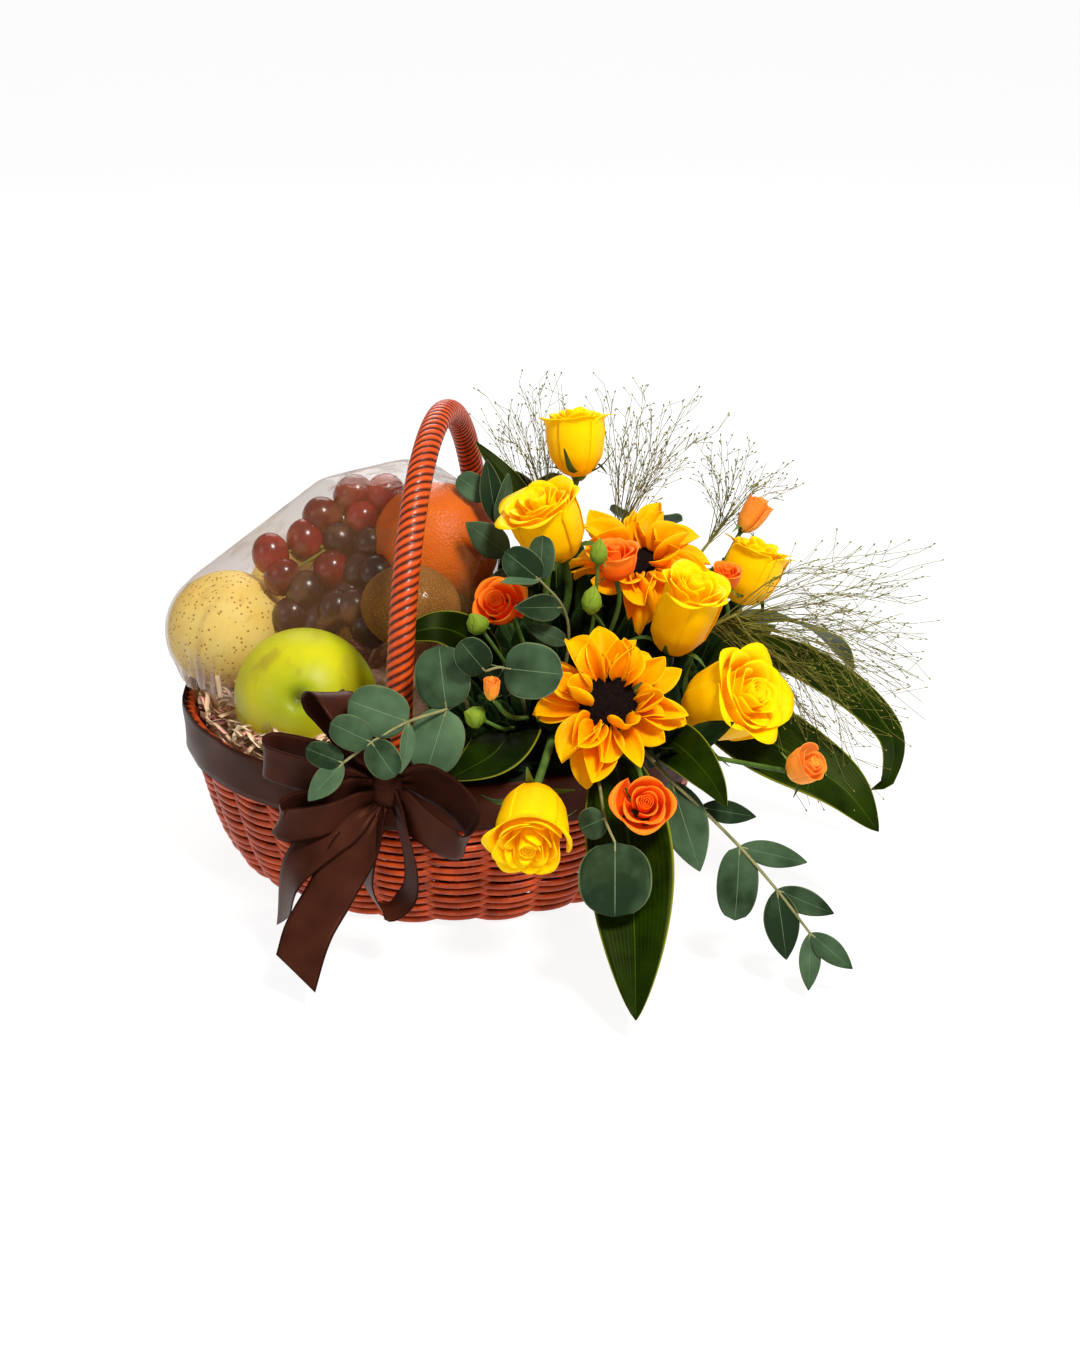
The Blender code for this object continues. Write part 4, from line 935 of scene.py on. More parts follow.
def build_bow(satin):
    """Loops and tails from one knot, with a turn of ribbon round it."""
    bow = Shape()
    area = KNOT_STRIP_LENGTH * KNOT_STRIP_WIDTH
    for i, (points, *across) in enumerate(BOW_LOOPS):
        start = KNOT + LOOP_LIFT + LOOP_START_STEP * i
        end = KNOT - LOOP_LIFT + LOOP_END_STEP * i
        area += ribbon_strip(bow, (start,) + points + (end,), LOOP_WIDTH, across, True)
    for i, (points, *across) in enumerate(BOW_TAILS):
        start = KNOT + TAIL_DROP + TAIL_STEP * i
        area += ribbon_strip(bow, (start,) + points, RIBBON_WIDTH, across, False, slant=-0.5 + i)
    turns = np.linspace(0, math.tau, 25)
    knot = []
    for row in np.linspace(-1, 1, 11):
        radius = KNOT_RADIUS + KNOT_BULGE * (1 - row ** 2) + KNOT_PLEAT * np.cos(row * 4 * math.pi)
        knot.append(np.column_stack([KNOT[0] + radius * np.cos(turns) * 1.05,
                                     KNOT[1] + radius * np.sin(turns),
                                     KNOT[2] + row * KNOT_HALF_HEIGHT + KNOT_TILT * np.sin(turns + 0.5)]))
    bow.sheet(knot)
    made = make_piece("bow_ribbon", bow, satin, ["ribbon_bow"], thickness=RIBBON_THICKNESS)


# Fruit and film

def make_content(name, shape, surface, thickness=0.0):
    """A piece that lies under the film."""
    make_piece(name, shape, surface, thickness=thickness)


def build_fruit():
    pear, back_pear, apple, oranges, kiwi = (Shape() for _ in range(5))
    pear.ball(*FRUIT["pear"], axis=(-0.2, -0.3, 1.0), rows=24, columns=36, dent=0.12, ends=0.06)
    pear_paint = skin_paint("russet_pear", (255, 234, 140), (254, 212, 102), 0.5, spots=(176, 122, 48),
                            spot_scale=330.0)
    make_content("pear", pear, pear_paint)
    apple.ball(*FRUIT["apple"], axis=TO_VIEWER, rows=80, columns=48, dent=0.17, ends=0.15, dent_width=0.15)
    make_content("apple", apple, apple_paint())
    for name in ("orange", "back_orange"):
        oranges.ball(*FRUIT[name], rows=28, columns=40, dent=0.04)
    make_content("oranges", oranges, skin_paint("orange_peel", (238, 112, 0), (220, 90, 0), 0.40,
                                                bump=0.0005, bump_scale=700.0))
    kiwi.ball(*FRUIT["kiwi"], rows=20, columns=30)
    make_content("kiwi", kiwi, skin_paint("kiwi_skin", (168, 112, 42), (112, 70, 18), 0.9,
                                          spots=(196, 150, 80), spot_scale=800.0, bump=0.0016,
                                          bump_scale=1600.0))
    back_pear.ball(*FRUIT["back_pear"], rows=24, columns=36, dent=0.10)
    make_content("back_pear", back_pear, pear_paint)


def build_grapes():
    red, purple, stalks = Shape(), Shape(), Shape()
    for kind, places in ((red, RED_GRAPES), (purple, PURPLE_GRAPES)):
        for middle in places:
            size = GRAPE_RADIUS * chance.uniform(0.92, 1.08)
            lean = (chance.uniform(-0.6, 0.6), chance.uniform(-0.6, 0.2), 1.0)
            kind.ball(middle, (size, size, size * 1.15), axis=lean, rows=12, columns=16, luck=chance.random())
    for middle in RED_GRAPES:
        halfway = (vec(middle) + vec(GRAPE_STALK[1])) / 2
        stalks.tube(smooth_line([middle, halfway, GRAPE_STALK[1]], 8), SIDE_STALK_RADIUS, sides=6)
    stalks.tube(smooth_line(GRAPE_STALK, 14), STALK_RADIUS, sides=8)
    make_content("red_grapes", red, plain_paint("red_grape", (156, 36, 36), (92, 16, 20), 0.22, specular=0.5))
    make_content("purple_grapes", purple,
                 plain_paint("purple_grape", (54, 26, 32), (24, 10, 14), 0.26, specular=0.5))
    make_content("grape_stalks", stalks, plain_paint("grape_stalk", (128, 140, 52), (96, 104, 36), 0.6))


def build_shreds():
    """Curled paper strips under and between the fruit, on a crumpled bed of paper."""
    tan, pink, bed = Shape(), Shape(), Shape()
    half_length, half_width = wall_half_sizes(SHRED_LOWEST)
    for i in range(SHREDS):
        angle = chance.uniform(0.55, 1.45) * math.pi
        reach = chance.uniform(0.70, 1.10)
        start = np.array((min((half_length - SHRED_FOOT_INSET) * reach * math.cos(angle), -SHRED_NEAREST),
                          (half_width - SHRED_FOOT_INSET) * reach * math.sin(angle),
                          chance.uniform(SHRED_LOWEST, SHRED_HIGHEST)))
        way = np.array((chance.uniform(-1, 1), chance.uniform(-1, 1), chance.uniform(-0.25, 0.35)))
        bend = np.array((chance.uniform(-1, 1), chance.uniform(-1, 1), 0.4)) * SHRED_BEND
        middle = start + way * SHRED_LENGTH * 0.55 + bend
        line = smooth_line([start, middle, start + way * SHRED_LENGTH], 10)
        past = np.hypot(line[:, 0] / (half_length - SHRED_INSET), line[:, 1] / (half_width - SHRED_INSET))
        line[:, :2] /= np.maximum(past, 1.0)[:, None]
        side = unit(np.cross(way, (0.3, 0.2, 1.0))) * SHRED_WIDTH / 2
        kind = pink if i % 5 == 0 else tan
        kind.sheet(np.stack([line - side, line + side], axis=1), luck=chance.random())
    make_content("tan_shreds", tan, plain_paint("tan_paper", (246, 220, 184), (214, 176, 138), 0.7),
                 SHRED_THICKNESS)
    make_content("pink_shreds", pink, plain_paint("pink_paper", (240, 172, 158), (214, 136, 126), 0.7),
                 SHRED_THICKNESS)
    half_length, half_width = wall_half_sizes(BED_HEIGHT)
    angles = circle(72)
    edge = np.minimum((half_length - BED_INSET) * np.cos(angles), -HALVES_GAP) - BED_MIDDLE
    share = np.linspace(1, 0, 40)[:, None]
    x, y = BED_MIDDLE + share * edge, share * (half_width - BED_INSET) * np.sin(angles)
    z = BED_HEIGHT + BED_WAVE * np.sin(260 * x) * np.sin(240 * y + 1)
    z = z + BED_RIPPLE * np.sin(700 * x + 500 * y)
    bed.sheet(np.stack([x, y, z], axis=-1), along=share, wrap=True)
    make_content("paper_bed", bed, plain_paint("bed_paper", (232, 196, 160), (176, 132, 104), 0.8, 300.0),
                 BED_THICKNESS)


def build_film():
    """Film pulled tight over the fruit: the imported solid's own form, made smooth and creased."""
    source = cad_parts["fruit_pack"].data.copy()
    source.materials.clear()
    made = bpy.data.objects.new("film", source)
    bpy.context.scene.collection.objects.link(made)
    remesh = made.modifiers.new("Even", "REMESH")
    remesh.mode = "VOXEL"
    remesh.voxel_size = FILM_VOXEL
    relax = made.modifiers.new("Relax", "SMOOTH")
    relax.factor = 0.5
    relax.iterations = 4
    bpy.context.view_layer.update()
    shown = made.evaluated_get(bpy.context.evaluated_depsgraph_get())
    mesh = bpy.data.meshes.new_from_object(shown)
    mesh.name = "film"
    made.modifiers.clear()
    made.data = mesh
    points, normals = (np.empty(len(mesh.vertices) * 3) for _ in range(2))
    mesh.vertices.foreach_get("co", points)
    mesh.vertices.foreach_get("normal", normals)
    points, normals = points.reshape(-1, 3), normals.reshape(-1, 3)
    angle = np.arctan2(points[:, 1], points[:, 0] + 0.07)
    fold = np.sin(angle * 31 + points[:, 2] * 60) * np.sin(angle * 17 - points[:, 2] * 90 + 1)
    near_rim = np.clip((0.150 - points[:, 2]) / 0.06, 0, 1)
    points += normals * (FILM_PROUD + fold * FILM_FOLD * near_rim)[:, None]
    for middle, half_sizes in FRUIT.values():
        reach = vec(half_sizes) + FILM_SLACK
        offset = (points - vec(middle)) / reach
        far = np.maximum(np.linalg.norm(offset, axis=1), 0.2)
        inside = far < 1
        points[inside] = vec(middle) + offset[inside] / far[inside, None] * reach
    mesh.vertices.foreach_set("co", points.ravel())
    work = bmesh.new()
    work.from_mesh(mesh)
    low = [vert for vert in work.verts if vert.co.z < FILM_EDGE_HEIGHT]
    bmesh.ops.delete(work, geom=low, context="VERTS")
    work.to_mesh(mesh)
    work.free()
    mesh.shade_smooth()
    mesh.materials.append(film_paint())
    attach(made, "root")
    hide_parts("fruit_pack")


# Flowers and greens

def mound_height(x, y):
    away = ((x - MOUND_MIDDLE) / MOUND_REACH[0]) ** 2 + (y / MOUND_REACH[1]) ** 2
    return MOUND_EDGE_HEIGHT + MOUND_RISE * (1 - min(away, 1.0))


def flower_heads():
    """Middle and reach of each flower head."""
    heads = [(np.add(base, top) / 2, radius)
             for base, top, radius, *_ in ROSES + ORANGE_ROSES + ORANGE_BUDS + GREEN_BUDS]
    return heads + [(vec(centre), petal * 0.9) for centre, _, _, petal, _ in SUNFLOWERS]


def build_core():
    """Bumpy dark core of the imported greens, narrower towards the basket's floor."""
    half_length, half_width = wall_half_sizes(MOUND_WALL_HEIGHT)
    angles = circle(MOUND_SIDES)
    edge = np.maximum((half_length - CORE_INSET) * np.cos(angles), HALVES_GAP) - MOUND_MIDDLE
    rings = []
    for share in np.linspace(1.0, 0.0, 26):
        xs, ys = MOUND_MIDDLE + share * edge, share * (half_width - CORE_INSET) * np.sin(angles)
        lumps = CORE_LUMP * np.sin(310 * xs + 3) * np.sin(290 * ys) - 0.004
        rings.append([(x, y, mound_height(x, y) + lump) for x, y, lump in zip(xs, ys, lumps)])
    foot = [(MOUND_MIDDLE + (x - MOUND_MIDDLE) * 0.80, y * 0.80, CORE_BOTTOM) for x, y, _ in rings[0]]
    core = Shape()
    core.sheet([[(MOUND_MIDDLE, 0, CORE_BOTTOM)] * MOUND_SIDES, foot] + rings, wrap=True)
    make_piece("mound_core", core, plain_paint("dark_packing", (38, 48, 26), (10, 14, 8), 0.9),
               ["flower_mound"])


def build_mound():
    """Dark packed greens: the core under a crowd of leaves, small ones and longer ones."""
    build_core()
    leaves = Shape()
    heads = flower_heads()
    half_length, half_width = wall_half_sizes(MOUND_WALL_HEIGHT)
    for _ in range(SMALL_LEAVES):
        angle = chance.uniform(-math.pi, math.pi)
        reach = math.sqrt(chance.uniform(0.02, 0.92))
        x = max((half_length - MOUND_INSET) * reach * math.cos(angle), SMALL_LEAF_NEAREST)
        y = (half_width - MOUND_INSET) * reach * math.sin(angle)
        if x > MOUND_MIDDLE + 0.066 or (x < 0.02 and abs(y) > 0.105):
            continue
        foot = np.array((x, y, mound_height(x, y) - 0.003))
        out = np.array((math.cos(angle) + chance.uniform(-1, 1), math.sin(angle) + chance.uniform(-1, 1), 0))
        out[2] = chance.uniform(0.15, 0.6)
        length = chance.uniform(*SMALL_LEAF_LENGTHS)
        tip = foot + unit(out) * length
        leaf(leaves, (foot, (foot + tip) / 2 + (0, 0, 0.0015), tip), length * 0.5, (0.1, -0.3, 1.0),
             lance_outline, 5, 4, fold=0.25)
    for _ in range(INNER_LEAVES):
        x, y = chance.uniform(0.020, 0.145), chance.uniform(-0.088, 0.080)
        foot = np.array((x, y, mound_height(x, y) - 0.002))
        away = np.array((x - MOUND_MIDDLE, y, 0.0)) * 8
        away += (chance.uniform(-0.5, 0.5), chance.uniform(-0.5, 0.5), 0)
        tip = foot + unit(away + (0, 0, chance.uniform(0.6, 2.6))) * chance.uniform(*INNER_LEAF_LENGTHS)
        touches = any(np.linalg.norm(point - middle) < radius + HEAD_CLEARANCE
                      for point in (tip, (foot + tip) / 2) for middle, radius in heads)
        if tip[2] > 0.140 + 0.35 * (y + 0.05) or touches:
            continue
        leaf(leaves, (foot, (foot + tip) / 2 + (0, 0, 0.004), tip), chance.uniform(*INNER_LEAF_WIDTHS),
             (0.1, -0.8, 0.5), lance_outline, 8, 4, fold=0.2)
    make_piece("mound_leaves", leaves, leaf_paint("packing_leaf", (38, 60, 26), (10, 20, 8), (44, 66, 30),
                                                  (34, 52, 24), 0.5, 0.08, 30.0, 0.3),
               thickness=SMALL_LEAF_THICKNESS)


def stem_route(name, head, axis):
    """Stem from the mound to the foot of a flower head, by the way set for it if it has one."""
    shift_x, shift_y = FOOT_SHIFTS.get(name, (0.0, 0.0))
    x = MOUND_MIDDLE + 0.42 * (head[0] - MOUND_MIDDLE) + shift_x
    y = 0.50 * head[1] + shift_y
    foot = np.array((x, y, mound_height(x, y) - 0.002))
    middle = head - unit(axis) * 0.25 * np.linalg.norm(head - foot)
    middle[2] = max(middle[2], RIM_HEIGHT + 0.010)
    return smooth_line([foot, STEM_WAYS.get(name, middle), head + unit(axis) * 0.002], 16)


def round_outline(s):
    return 0.97 * math.sqrt(1 - abs(2 * s - 1) ** 2.3) + 0.03


def lance_outline(s):
    return max(math.sin(math.pi * s ** 0.92), 0.0) ** 0.75


def oval_outline(s):
    """Widest below the middle, with a blunt point."""
    return max(math.sin(math.pi * s ** 0.85), 0.0) ** 0.8


def sepal_outline(s):
    return 0.9 * (1 - s) ** 0.8 + 0.1


def leaf(shape, points, width, facing, outline, rows, columns, fold, wave=0.0, curl=0.0):
    """Leaf along a smooth line, folded at its rib, with a wavy edge."""
    line = smooth_line(points, rows + 1)
    u = np.linspace(-1, 1, columns + 1)
    start = chance.uniform(0, 6)
    grid = []
    for i, (centre, along) in enumerate(zip(line, tangents(line))):
        s = i / rows
        across = unit(np.cross(along, facing))
        normal = np.cross(across, along)
        half = max(width * outline(s) / 2, 0.0003)
        lift = np.abs(u) * fold + wave * u * u * np.sin(s * 11 + start + np.sign(u) * 0.8) + curl * u * u
        grid.append(centre + half * (u[:, None] * across + lift[:, None] * normal))
    shape.sheet(grid, luck=chance.random())


def sepals(shape, base, axis, length, count, width, droop, foot=0.0015):
    """Green points under a flower head, curled back at their tips."""
    axes = axes_about(axis)
    start = chance.uniform(0, 1)
    for i in range(count):
        out = outward(axes, math.tau * (i + start) / count + chance.uniform(-0.15, 0.15))
        reach = length * chance.uniform(0.8, 1.05)
        points = [base + out * foot, base + out * reach * 0.55 + axis * reach * 0.22,
                  base + out * reach * 0.9 + axis * reach * (0.55 * chance.uniform(-0.3, 1.4) - droop)]
        leaf(shape, points, width, axis, sepal_outline, 8, 4, fold=0.3)


def rose_head(shape, base, top, radius, flare, whorls, opening, seed):
    """Cut rose: whorls of overlapping petals with rolled lips round a tight swirl."""
    draw = random.Random(seed)
    height = np.linalg.norm(top - base)
    axes = axes_about(top - base)
    v = np.linspace(0, 1, 16)[:, None]
    u = np.linspace(-1, 1, 15)[None, :]
    turn = draw.uniform(0, 6)
    total = sum(count for count, _ in whorls)
    placed = 0
    for ring, (count, half_width) in enumerate(whorls):
        for i in range(count):
            inner = placed / total
            placed += 1
            angle = turn + math.tau * (i + 0.5 * ring) / count + draw.uniform(-0.12, 0.12)
            size = 1 - 0.80 * inner ** 0.95
            rise = height * (draw.uniform(0.90, 0.98) + 0.04 * inner)
            rounded = 1 - draw.uniform(0.16, 0.30) * np.abs(u) ** 2.6
            level = v * rounded
            reach = np.interp(level, ROSE_STEPS, ROSE_REACH) * size * radius
            lip = np.clip((level - 0.80) / 0.20, 0, 1)
            open_out = (opening + 0.16 * (flare - 0.9)) * (1 - 0.85 * inner) * draw.uniform(0.5, 1.35)
            point = np.exp(-(u / 0.30) ** 2)
            reach = reach + radius * open_out * lip ** 1.8 * (1 + 0.5 * point)
            reach = reach * (1 - 0.06 * u) + 0.02 * radius * np.sin(3 * u + angle) * v
            up = rise * level - height * 0.10 * lip ** 3 * (1 - inner) + height * 0.025 * point * lip
            up = up + height * 0.012 * np.sin(5 * u + 3 * angle) * lip
            spin = angle + u * half_width + 0.10 * v
            # Inner petals read lower along, so they take more of the deeper foot colour: painted shade in the
            # depths of the rose.
            shape.sheet(points_about(base, axes, up, reach, spin), along=level * (1 - 0.15 * inner),
                        luck=draw.random())
    sweep = np.linspace(0, 1, 90)[None, :]
    level = np.linspace(0.35, 1, 8)[:, None]
    reach = radius * (0.26 - 0.235 * sweep) * (0.75 + 0.25 * level)
    up = height * level * (0.97 - 0.05 * sweep)
    spin = turn + sweep * math.tau * SWIRL_TURNS + 0.15 * level
    # The swirl reads no further than 0.55 along, in the deeper colours: painted shade in the heart of the
    # rose.
    shape.sheet(points_about(base, axes, up, reach, spin), along=level * 0.55, across=sweep * 1.6 - 0.8)


def calyx(shape, base, axis, radius, height):
    """Green cup under a flower head."""
    levels = np.linspace(-0.6, 1, 7)[:, None] + np.zeros(14)
    reach = radius * (0.30 + 0.70 * np.clip((levels + 0.6) / 1.6, 0, 1) ** 0.6)
    shape.sheet(points_about(base, axes_about(axis), levels * height, reach, circle(14)), wrap=True)


def make_flower(name, head, stalk, paint, green, thickness=PETAL_THICKNESS):
    make_piece(name + "_petals", head, paint, [name], thickness=thickness)
    make_piece(name + "_stem", stalk, green)


def build_rose(name, base, top, radius, flare, whorls, paint, green, seed, opening=0.20, stem=STEM_RADIUS,
               sepal=1.65, slot="yellow_petals"):
    head, stalk = Shape(), Shape()
    base, top = vec(base), vec(top)
    axis = unit(top - base)
    rose_head(head, base, top, radius, flare, whorls, opening, seed)
    stalk.tube(stem_route(name, base, axis), stem)
    calyx(stalk, base, axis, radius * 0.36, radius * 0.22)
    sepals(stalk, base, axis, radius * sepal, 5, radius * 0.38, 0.05)
    make_flower(name, head, stalk, paint, green)


def flower_petal(shape, foot, out, up, length, width, lift, curl, cup, twist, luck):
    """Long pointed petal that leaves its foot at an angle, curls along its length and is cupped across."""
    rows, columns = 16, 8
    cross = np.cross(up, out)
    u = np.linspace(-1, 1, columns + 1)
    centre = foot
    grid = []
    for i in range(rows + 1):
        s = i / rows
        angle = lift + curl * s ** 1.4
        along = out * math.cos(angle) + up * math.sin(angle)
        normal = -out * math.sin(angle) + up * math.cos(angle)
        roll = twist * s ** 1.5
        across = cross * math.cos(roll) + normal * math.sin(roll)
        normal = normal * math.cos(roll) - cross * math.sin(roll)
        half = width / 2 * (0.30 + 0.70 * math.sin(math.pi * (0.06 + 0.66 * s))) * (1 - s ** 4) ** 0.75
        half = max(half, 0.0002)
        rise = cup * (u * u) * half * (1 - 0.5 * s) + 0.10 * half * np.cos(u * 6 + luck * 9)
        grid.append(centre + (half * u)[:, None] * across + rise[:, None] * normal)
        centre = centre + along * length / rows
    shape.sheet(grid, luck=luck)


def build_sunflower(name, centre, axis, disc_radius, petal_length, petals, paint, disc_paint, green, seed):
    """Layers of ragged petals behind a dark disc of seed tufts laid in a spiral."""
    draw = random.Random(seed)
    centre = vec(centre)
    axes = axes_about(axis)
    axis = axes[0]
    back = centre - axis * HEAD_DEPTH
    head, disc, stalk = Shape(), Shape(), Shape()
    for layer, (height, share, lift, curl, cup, more) in enumerate(PETAL_LAYERS):
        count = petals // 2 + more
        for i in range(count):
            even = math.tau * (i + 0.33 * layer) / count
            out = outward(axes, even + 0.24 * math.sin(4 * even + seed) + draw.uniform(-0.18, 0.18))
            length = petal_length * share * draw.uniform(0.78, 1.10)
            foot = back + axis * height + out * disc_radius * (0.80 + 0.12 * layer)
            flower_petal(head, foot, out, axis, length, petal_length * draw.uniform(0.42, 0.66),
                         lift + draw.uniform(-0.40, 0.45), curl * draw.uniform(-1.7, 1.4),
                         cup * draw.uniform(0.5, 2.0), draw.uniform(-1.2, 1.2), draw.random())
    disc.ball(centre - axis * 0.001, (disc_radius, disc_radius, DISC_HALF_DEPTH), axis=axis, rows=12,
              columns=28)
    for i in range(DISC_TUFTS):
        reach = disc_radius * 1.02 * math.sqrt((i + 0.5) / DISC_TUFTS)
        out = outward(axes, i * GOLDEN_ANGLE)
        dome = DISC_DOME * math.sqrt(max(1 - (reach / disc_radius / 1.03) ** 2, 0))
        foot = centre + out * reach + axis * (dome - 0.002)
        tip = foot + axis * draw.uniform(*TUFT_LENGTHS) + out * draw.uniform(*TUFT_LEANS)
        disc.tube([foot, foot * 0.4 + tip * 0.6, tip], TUFT_RADII, sides=5, luck=draw.random())
    stalk.tube(stem_route(name, back, axis), STEM_RADIUS)
    calyx(stalk, back + axis * 0.002, axis, disc_radius, 0.004)
    sepals(stalk, back + axis * 0.002, axis, petal_length * 0.7, 11, petal_length * 0.24, 0.1,
           foot=disc_radius * 0.6)
    make_piece(name + "_petals", head, paint, [name], thickness=PETAL_THICKNESS)
    make_piece(name + "_disc", disc, disc_paint)
    make_piece(name + "_stem", stalk, green)


def build_bud(name, base, top, radius, paint, green, seed):
    """Closed green bud: broad petals wound round each other to a point."""
    head, stalk = Shape(), Shape()
    draw = random.Random(seed)
    base, top = vec(base), vec(top)
    height = np.linalg.norm(top - base)
    axes = axes_about(top - base)
    v = np.linspace(0, 1, 14)[:, None]
    u = np.linspace(-1, 1, 13)[None, :]
    profile = np.interp(v, BUD_STEPS, BUD_REACH)
    for i in range(BUD_PETALS):
        inner = i / BUD_PETALS
        spin = 2.4 * i + u * (1.25 - 0.3 * inner) + 0.5 * v
        level = v * (1 - 0.20 * np.abs(u) ** 2.4) * (1.0 - 0.04 * draw.random())
        reach = radius * profile * (1 - 0.35 * inner) * (1 - 0.05 * u)
        head.sheet(points_about(base, axes, height * level, reach, spin), along=level, luck=draw.random())
    stalk.tube(stem_route(name, base, axes[0]), BUD_STEM_RADIUS, sides=7)
    calyx(stalk, base, axes[0], radius * 0.55, radius * 0.35)
    sepals(stalk, base, axes[0], radius * 1.3, 4, radius * 0.45, 0.0)
    make_flower(name, head, stalk, paint, green, BUD_PETAL_THICKNESS)


def build_eucalyptus(name, stem, facing, leaves, paint, twig):
    """Branch of waxy leaves, round or oval, each on a short stalk from the stem."""
    blades, stalk = Shape(), Shape()
    steps = 10 * len(stem)
    stalk.tube(smooth_line(stem, steps), np.linspace(*BRANCH_RADII, steps), sides=6)
    for place, tip, width, *own_facing in leaves:
        way = own_facing[0] if own_facing else facing
        foot, tip = vec(stem[place]), vec(tip)
        length = np.linalg.norm(tip - foot)
        middle = (foot + tip) / 2 + unit(way) * 0.06 * length
        outline = round_outline if width > 0.55 * length else oval_outline
        leaf(blades, (foot, middle, tip), width, way, outline, 18, 12, fold=0.05, wave=0.05,
             curl=chance.uniform(-0.10, 0.14))
        stalk.tube(smooth_line([foot, foot + (middle - foot) * 0.25], 5), LEAF_STALK_RADIUS, sides=5)
    make_piece(name + "_leaves", blades, paint, [name],
               thickness=WAXY_LEAF_THICKNESS)
    make_piece(name + "_twig", stalk, twig)


def build_grass(name, foot, base, heading, spread, length, droop, count, paint, seed):
    """Airy plume: hair-thin branches that fork into twigs with a seed at each tip."""
    draw = random.Random(seed)
    plume = Shape()
    base, heading = vec(base), unit(heading)
    across = unit(np.cross(heading, TO_VIEWER))
    depth = np.cross(across, heading)
    plume.tube(smooth_line([foot, base], 4), PLUME_STALK_RADII, sides=6)
    stalk = unit(base - vec(foot))
    for i in range(count):
        turn = spread * (2 * (i + draw.uniform(0, 1)) / count - 1)
        way = unit(heading * math.cos(turn) + across * math.sin(turn) + depth * draw.uniform(-0.22, 0.22))
        reach = length * draw.uniform(0.55, 1.0)
        drop = np.array((0, 0, droop * reach * draw.uniform(0.5, 1.2)))
        start = base - stalk * draw.uniform(0, 0.025)
        sway = np.array([draw.uniform(-0.09, 0.09) for _ in range(3)]) * length
        line = smooth_line([start, base + way * reach * 0.5 - drop * 0.15 + sway,
                            base + way * reach - drop], 12)
        plume.tube(line, np.linspace(PLUME_BRANCH_RADIUS, TWIG_RADIUS, 12), sides=3, closed_ends=False)
        for _ in range(draw.randint(6, 9)):
            place = line[draw.randint(4, 11)]
            twig = unit(way + np.array([draw.uniform(-0.75, 0.75) for _ in range(3)]))
            end = place + twig * length * draw.uniform(0.06, 0.17)
            plume.tube([place, (place + end) / 2, end], TWIG_RADIUS, sides=3, closed_ends=False)
            plume.tube([end - twig * 0.0006, end, end + twig * 0.0008], SEED_RADII, sides=4,
                       luck=draw.random())
    make_piece(name + "_plume", plume, paint, [name])


def build_flowers():
    yellow = petal_paint("yellow_petal", (255, 204, 0), (255, 192, 0), (252, 172, 0), (255, 212, 20))
    sun = petal_paint("sunflower_petal", (255, 184, 0), (250, 158, 0), (214, 102, 0), (255, 194, 10),
                      veins=18.0)
    coral = petal_paint("coral_petal", (253, 128, 34), (246, 98, 16), (222, 62, 4), (254, 150, 72))
    bud_skin = petal_paint("bud_petal", (248, 128, 50), (246, 140, 48), (240, 168, 60), (252, 164, 90))
    lime = petal_paint("green_bud_skin", (128, 148, 44), (112, 136, 38), (84, 112, 30), (150, 164, 70))
    green = plain_paint("stem_green", (92, 120, 48), (48, 76, 26), 0.5)
    disc = plain_paint("seed_disc", (24, 9, 6), (6, 2, 2), 1.0, 500.0)
    for i, values in enumerate(ROSES, start=1):
        build_rose(f"rose_{i}", *values, ROSE_WHORLS, yellow, green, i)
    for i, values in enumerate(SUNFLOWERS, start=1):
        build_sunflower(f"sunflower_{i}", *values, sun, disc, green, 20 + i)
    for i, values in enumerate(ORANGE_ROSES, start=1):
        build_rose(f"orange_rose_{i}", *values, 1.0, SMALL_WHORLS, coral, green, 40 + i, opening=0.12,
                   stem=SMALL_STEM_RADIUS, sepal=1.1, slot="orange_petals")
    for i, values in enumerate(ORANGE_BUDS, start=1):
        build_rose(f"orange_bud_{i}", *values, 0.8, SMALL_WHORLS, bud_skin, green, 60 + i, opening=0.02,
                   stem=SMALL_STEM_RADIUS, sepal=1.5, slot="orange_bud_petals")
    for i, values in enumerate(GREEN_BUDS, start=1):
        build_bud(f"green_bud_{i}", *values, lime, green, 70 + i)


def build_greens():
    dark = leaf_paint("dark_leaf", (38, 58, 0), (8, 20, 0), (58, 82, 10), (128, 132, 30), 0.42, 0.03,
                      9.0, 6.0)
    waxy = leaf_paint("waxy_leaf", (84, 110, 80), (28, 44, 28), (116, 136, 102), (104, 114, 78), 0.50, 0.02,
                      0.0, 0.5)
    twig = plain_paint("pale_twig", (150, 146, 98), (104, 106, 66), 0.6)
    straw = plain_paint("dry_straw", (140, 136, 60), (98, 92, 34), 0.7)
    for i, (points, width, facing) in enumerate(LONG_LEAVES, start=1):
        blade = Shape()
        leaf(blade, points, width, facing, lance_outline, 44, 14, fold=0.12, wave=0.05)
        make_piece(f"long_leaf_{i}_blade", blade, dark, [f"long_leaf_{i}"],
                   thickness=LEAF_THICKNESS)
    for i, values in enumerate(EUCALYPTUS, start=1):
        build_eucalyptus(f"eucalyptus_{i}", *values, waxy, twig)
    for i, values in enumerate(GRASSES, start=1):
        build_grass(f"grass_{i}", *values, straw, 80 + i)


# Floor, light and camera

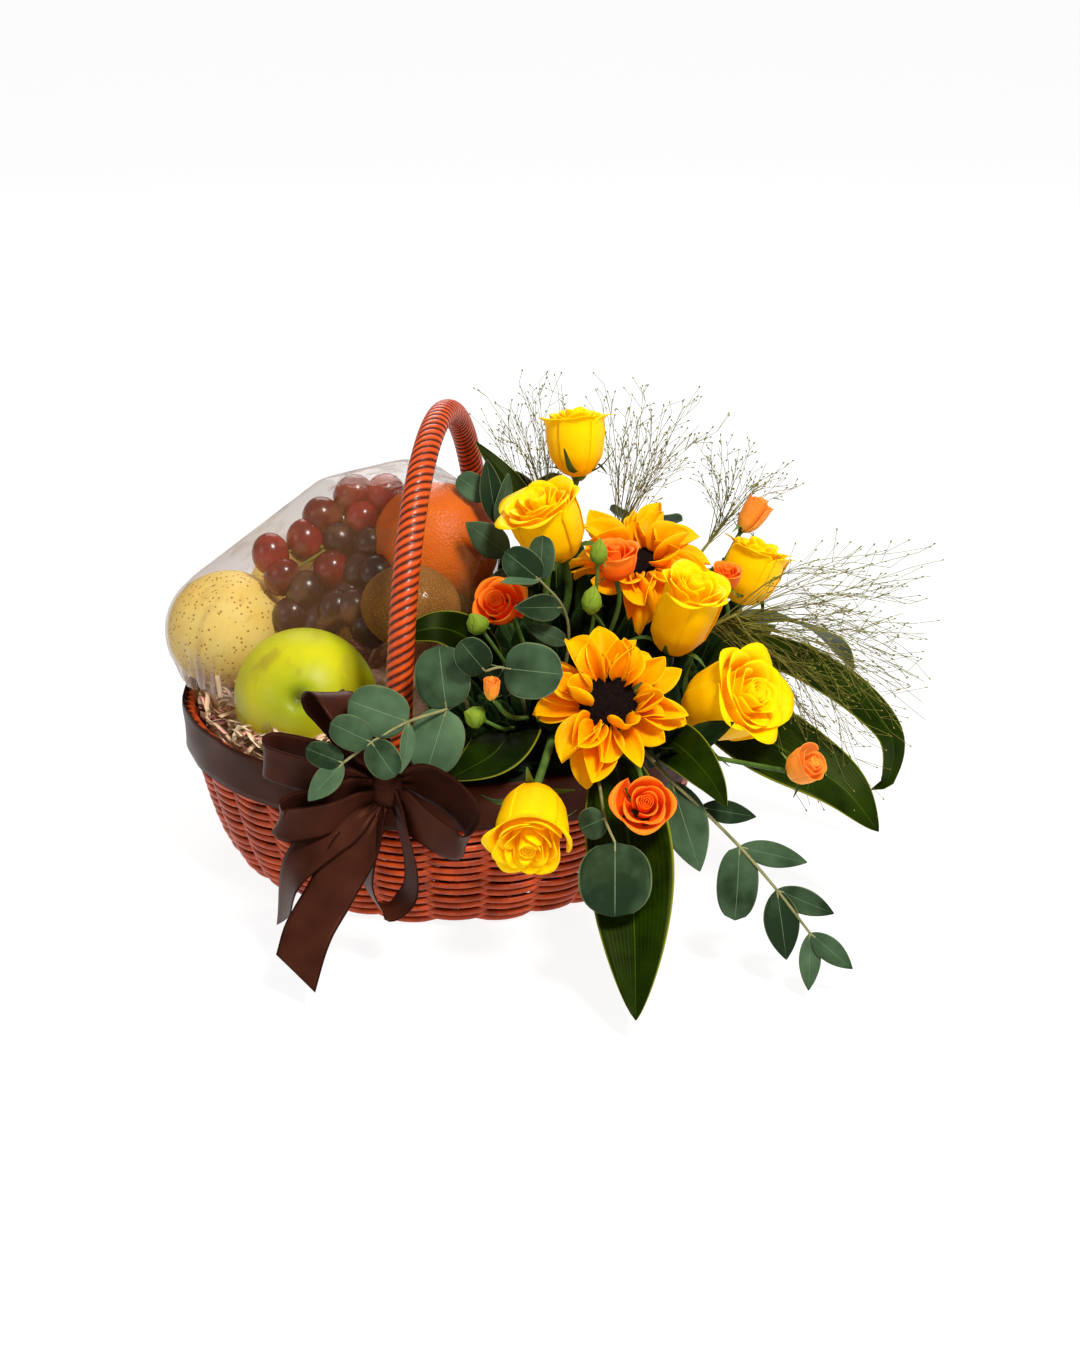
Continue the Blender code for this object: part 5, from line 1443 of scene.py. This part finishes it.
def build_stage():
    size = FLOOR_HALF_SIZE
    mesh = bpy.data.meshes.new("floor")
    corners = [(-size, -size, 0), (size, -size, 0), (size, size, 0), (-size, size, 0)]
    mesh.from_pydata(corners, [], [(0, 1, 2, 3)])
    floor = bpy.data.objects.new("floor", mesh)
    bpy.context.scene.collection.objects.link(floor)
    floor.location.z = -FLOOR_DROP
    paint = Paint("pale_floor", roughness=0.9, specular=0.1)
    paint.colour((116, 116, 115))
    paint.set("Emission Color", (1.0, 1.0, 1.0, 1.0))
    paint.set("Emission Strength", 0.90)
    mesh.materials.append(paint.made)


def add_light(name, place, size, power, colour):
    data = bpy.data.lights.new(name, "AREA")
    data.size = size
    data.energy = power
    data.color = colour
    lamp = bpy.data.objects.new(name, data)
    lamp.location = place
    lamp.rotation_euler = (Vector(LIGHT_TARGET) - Vector(place)).to_track_quat("-Z", "Y").to_euler()
    bpy.context.scene.collection.objects.link(lamp)


def build_lights():
    world = bpy.data.worlds.new("studio")
    world.use_nodes = True
    background = world.node_tree.nodes["Background"]
    background.inputs[0].default_value = (1.0, 1.0, 1.0, 1.0)
    background.inputs[1].default_value = WORLD_LIGHT
    bpy.context.scene.world = world
    for values in LAMPS:
        add_light(*values)


def build_camera():
    azimuth, elevation = math.radians(AZIMUTH), math.radians(ELEVATION)
    away = Vector((math.sin(azimuth) * math.cos(elevation), -math.cos(azimuth) * math.cos(elevation),
                   math.sin(elevation)))
    data = bpy.data.cameras.new("camera")
    data.lens = CAMERA_LENS
    data.sensor_width = 36.0
    camera = bpy.data.objects.new("camera", data)
    camera.location = Vector(CAMERA_TARGET) + away * CAMERA_DISTANCE
    camera.rotation_euler = (-away).to_track_quat("-Z", "Y").to_euler()
    bpy.context.scene.collection.objects.link(camera)
    bpy.context.scene.camera = camera


satin = ribbon_paint()
build_camera()
build_lights()
build_stage()
build_basket()
build_handle()
build_band(satin)
build_bow(satin)
build_fruit()
build_grapes()
build_shreds()
build_film()
build_mound()
build_flowers()
build_greens()
bpy.context.scene.view_settings.view_transform = "Standard"
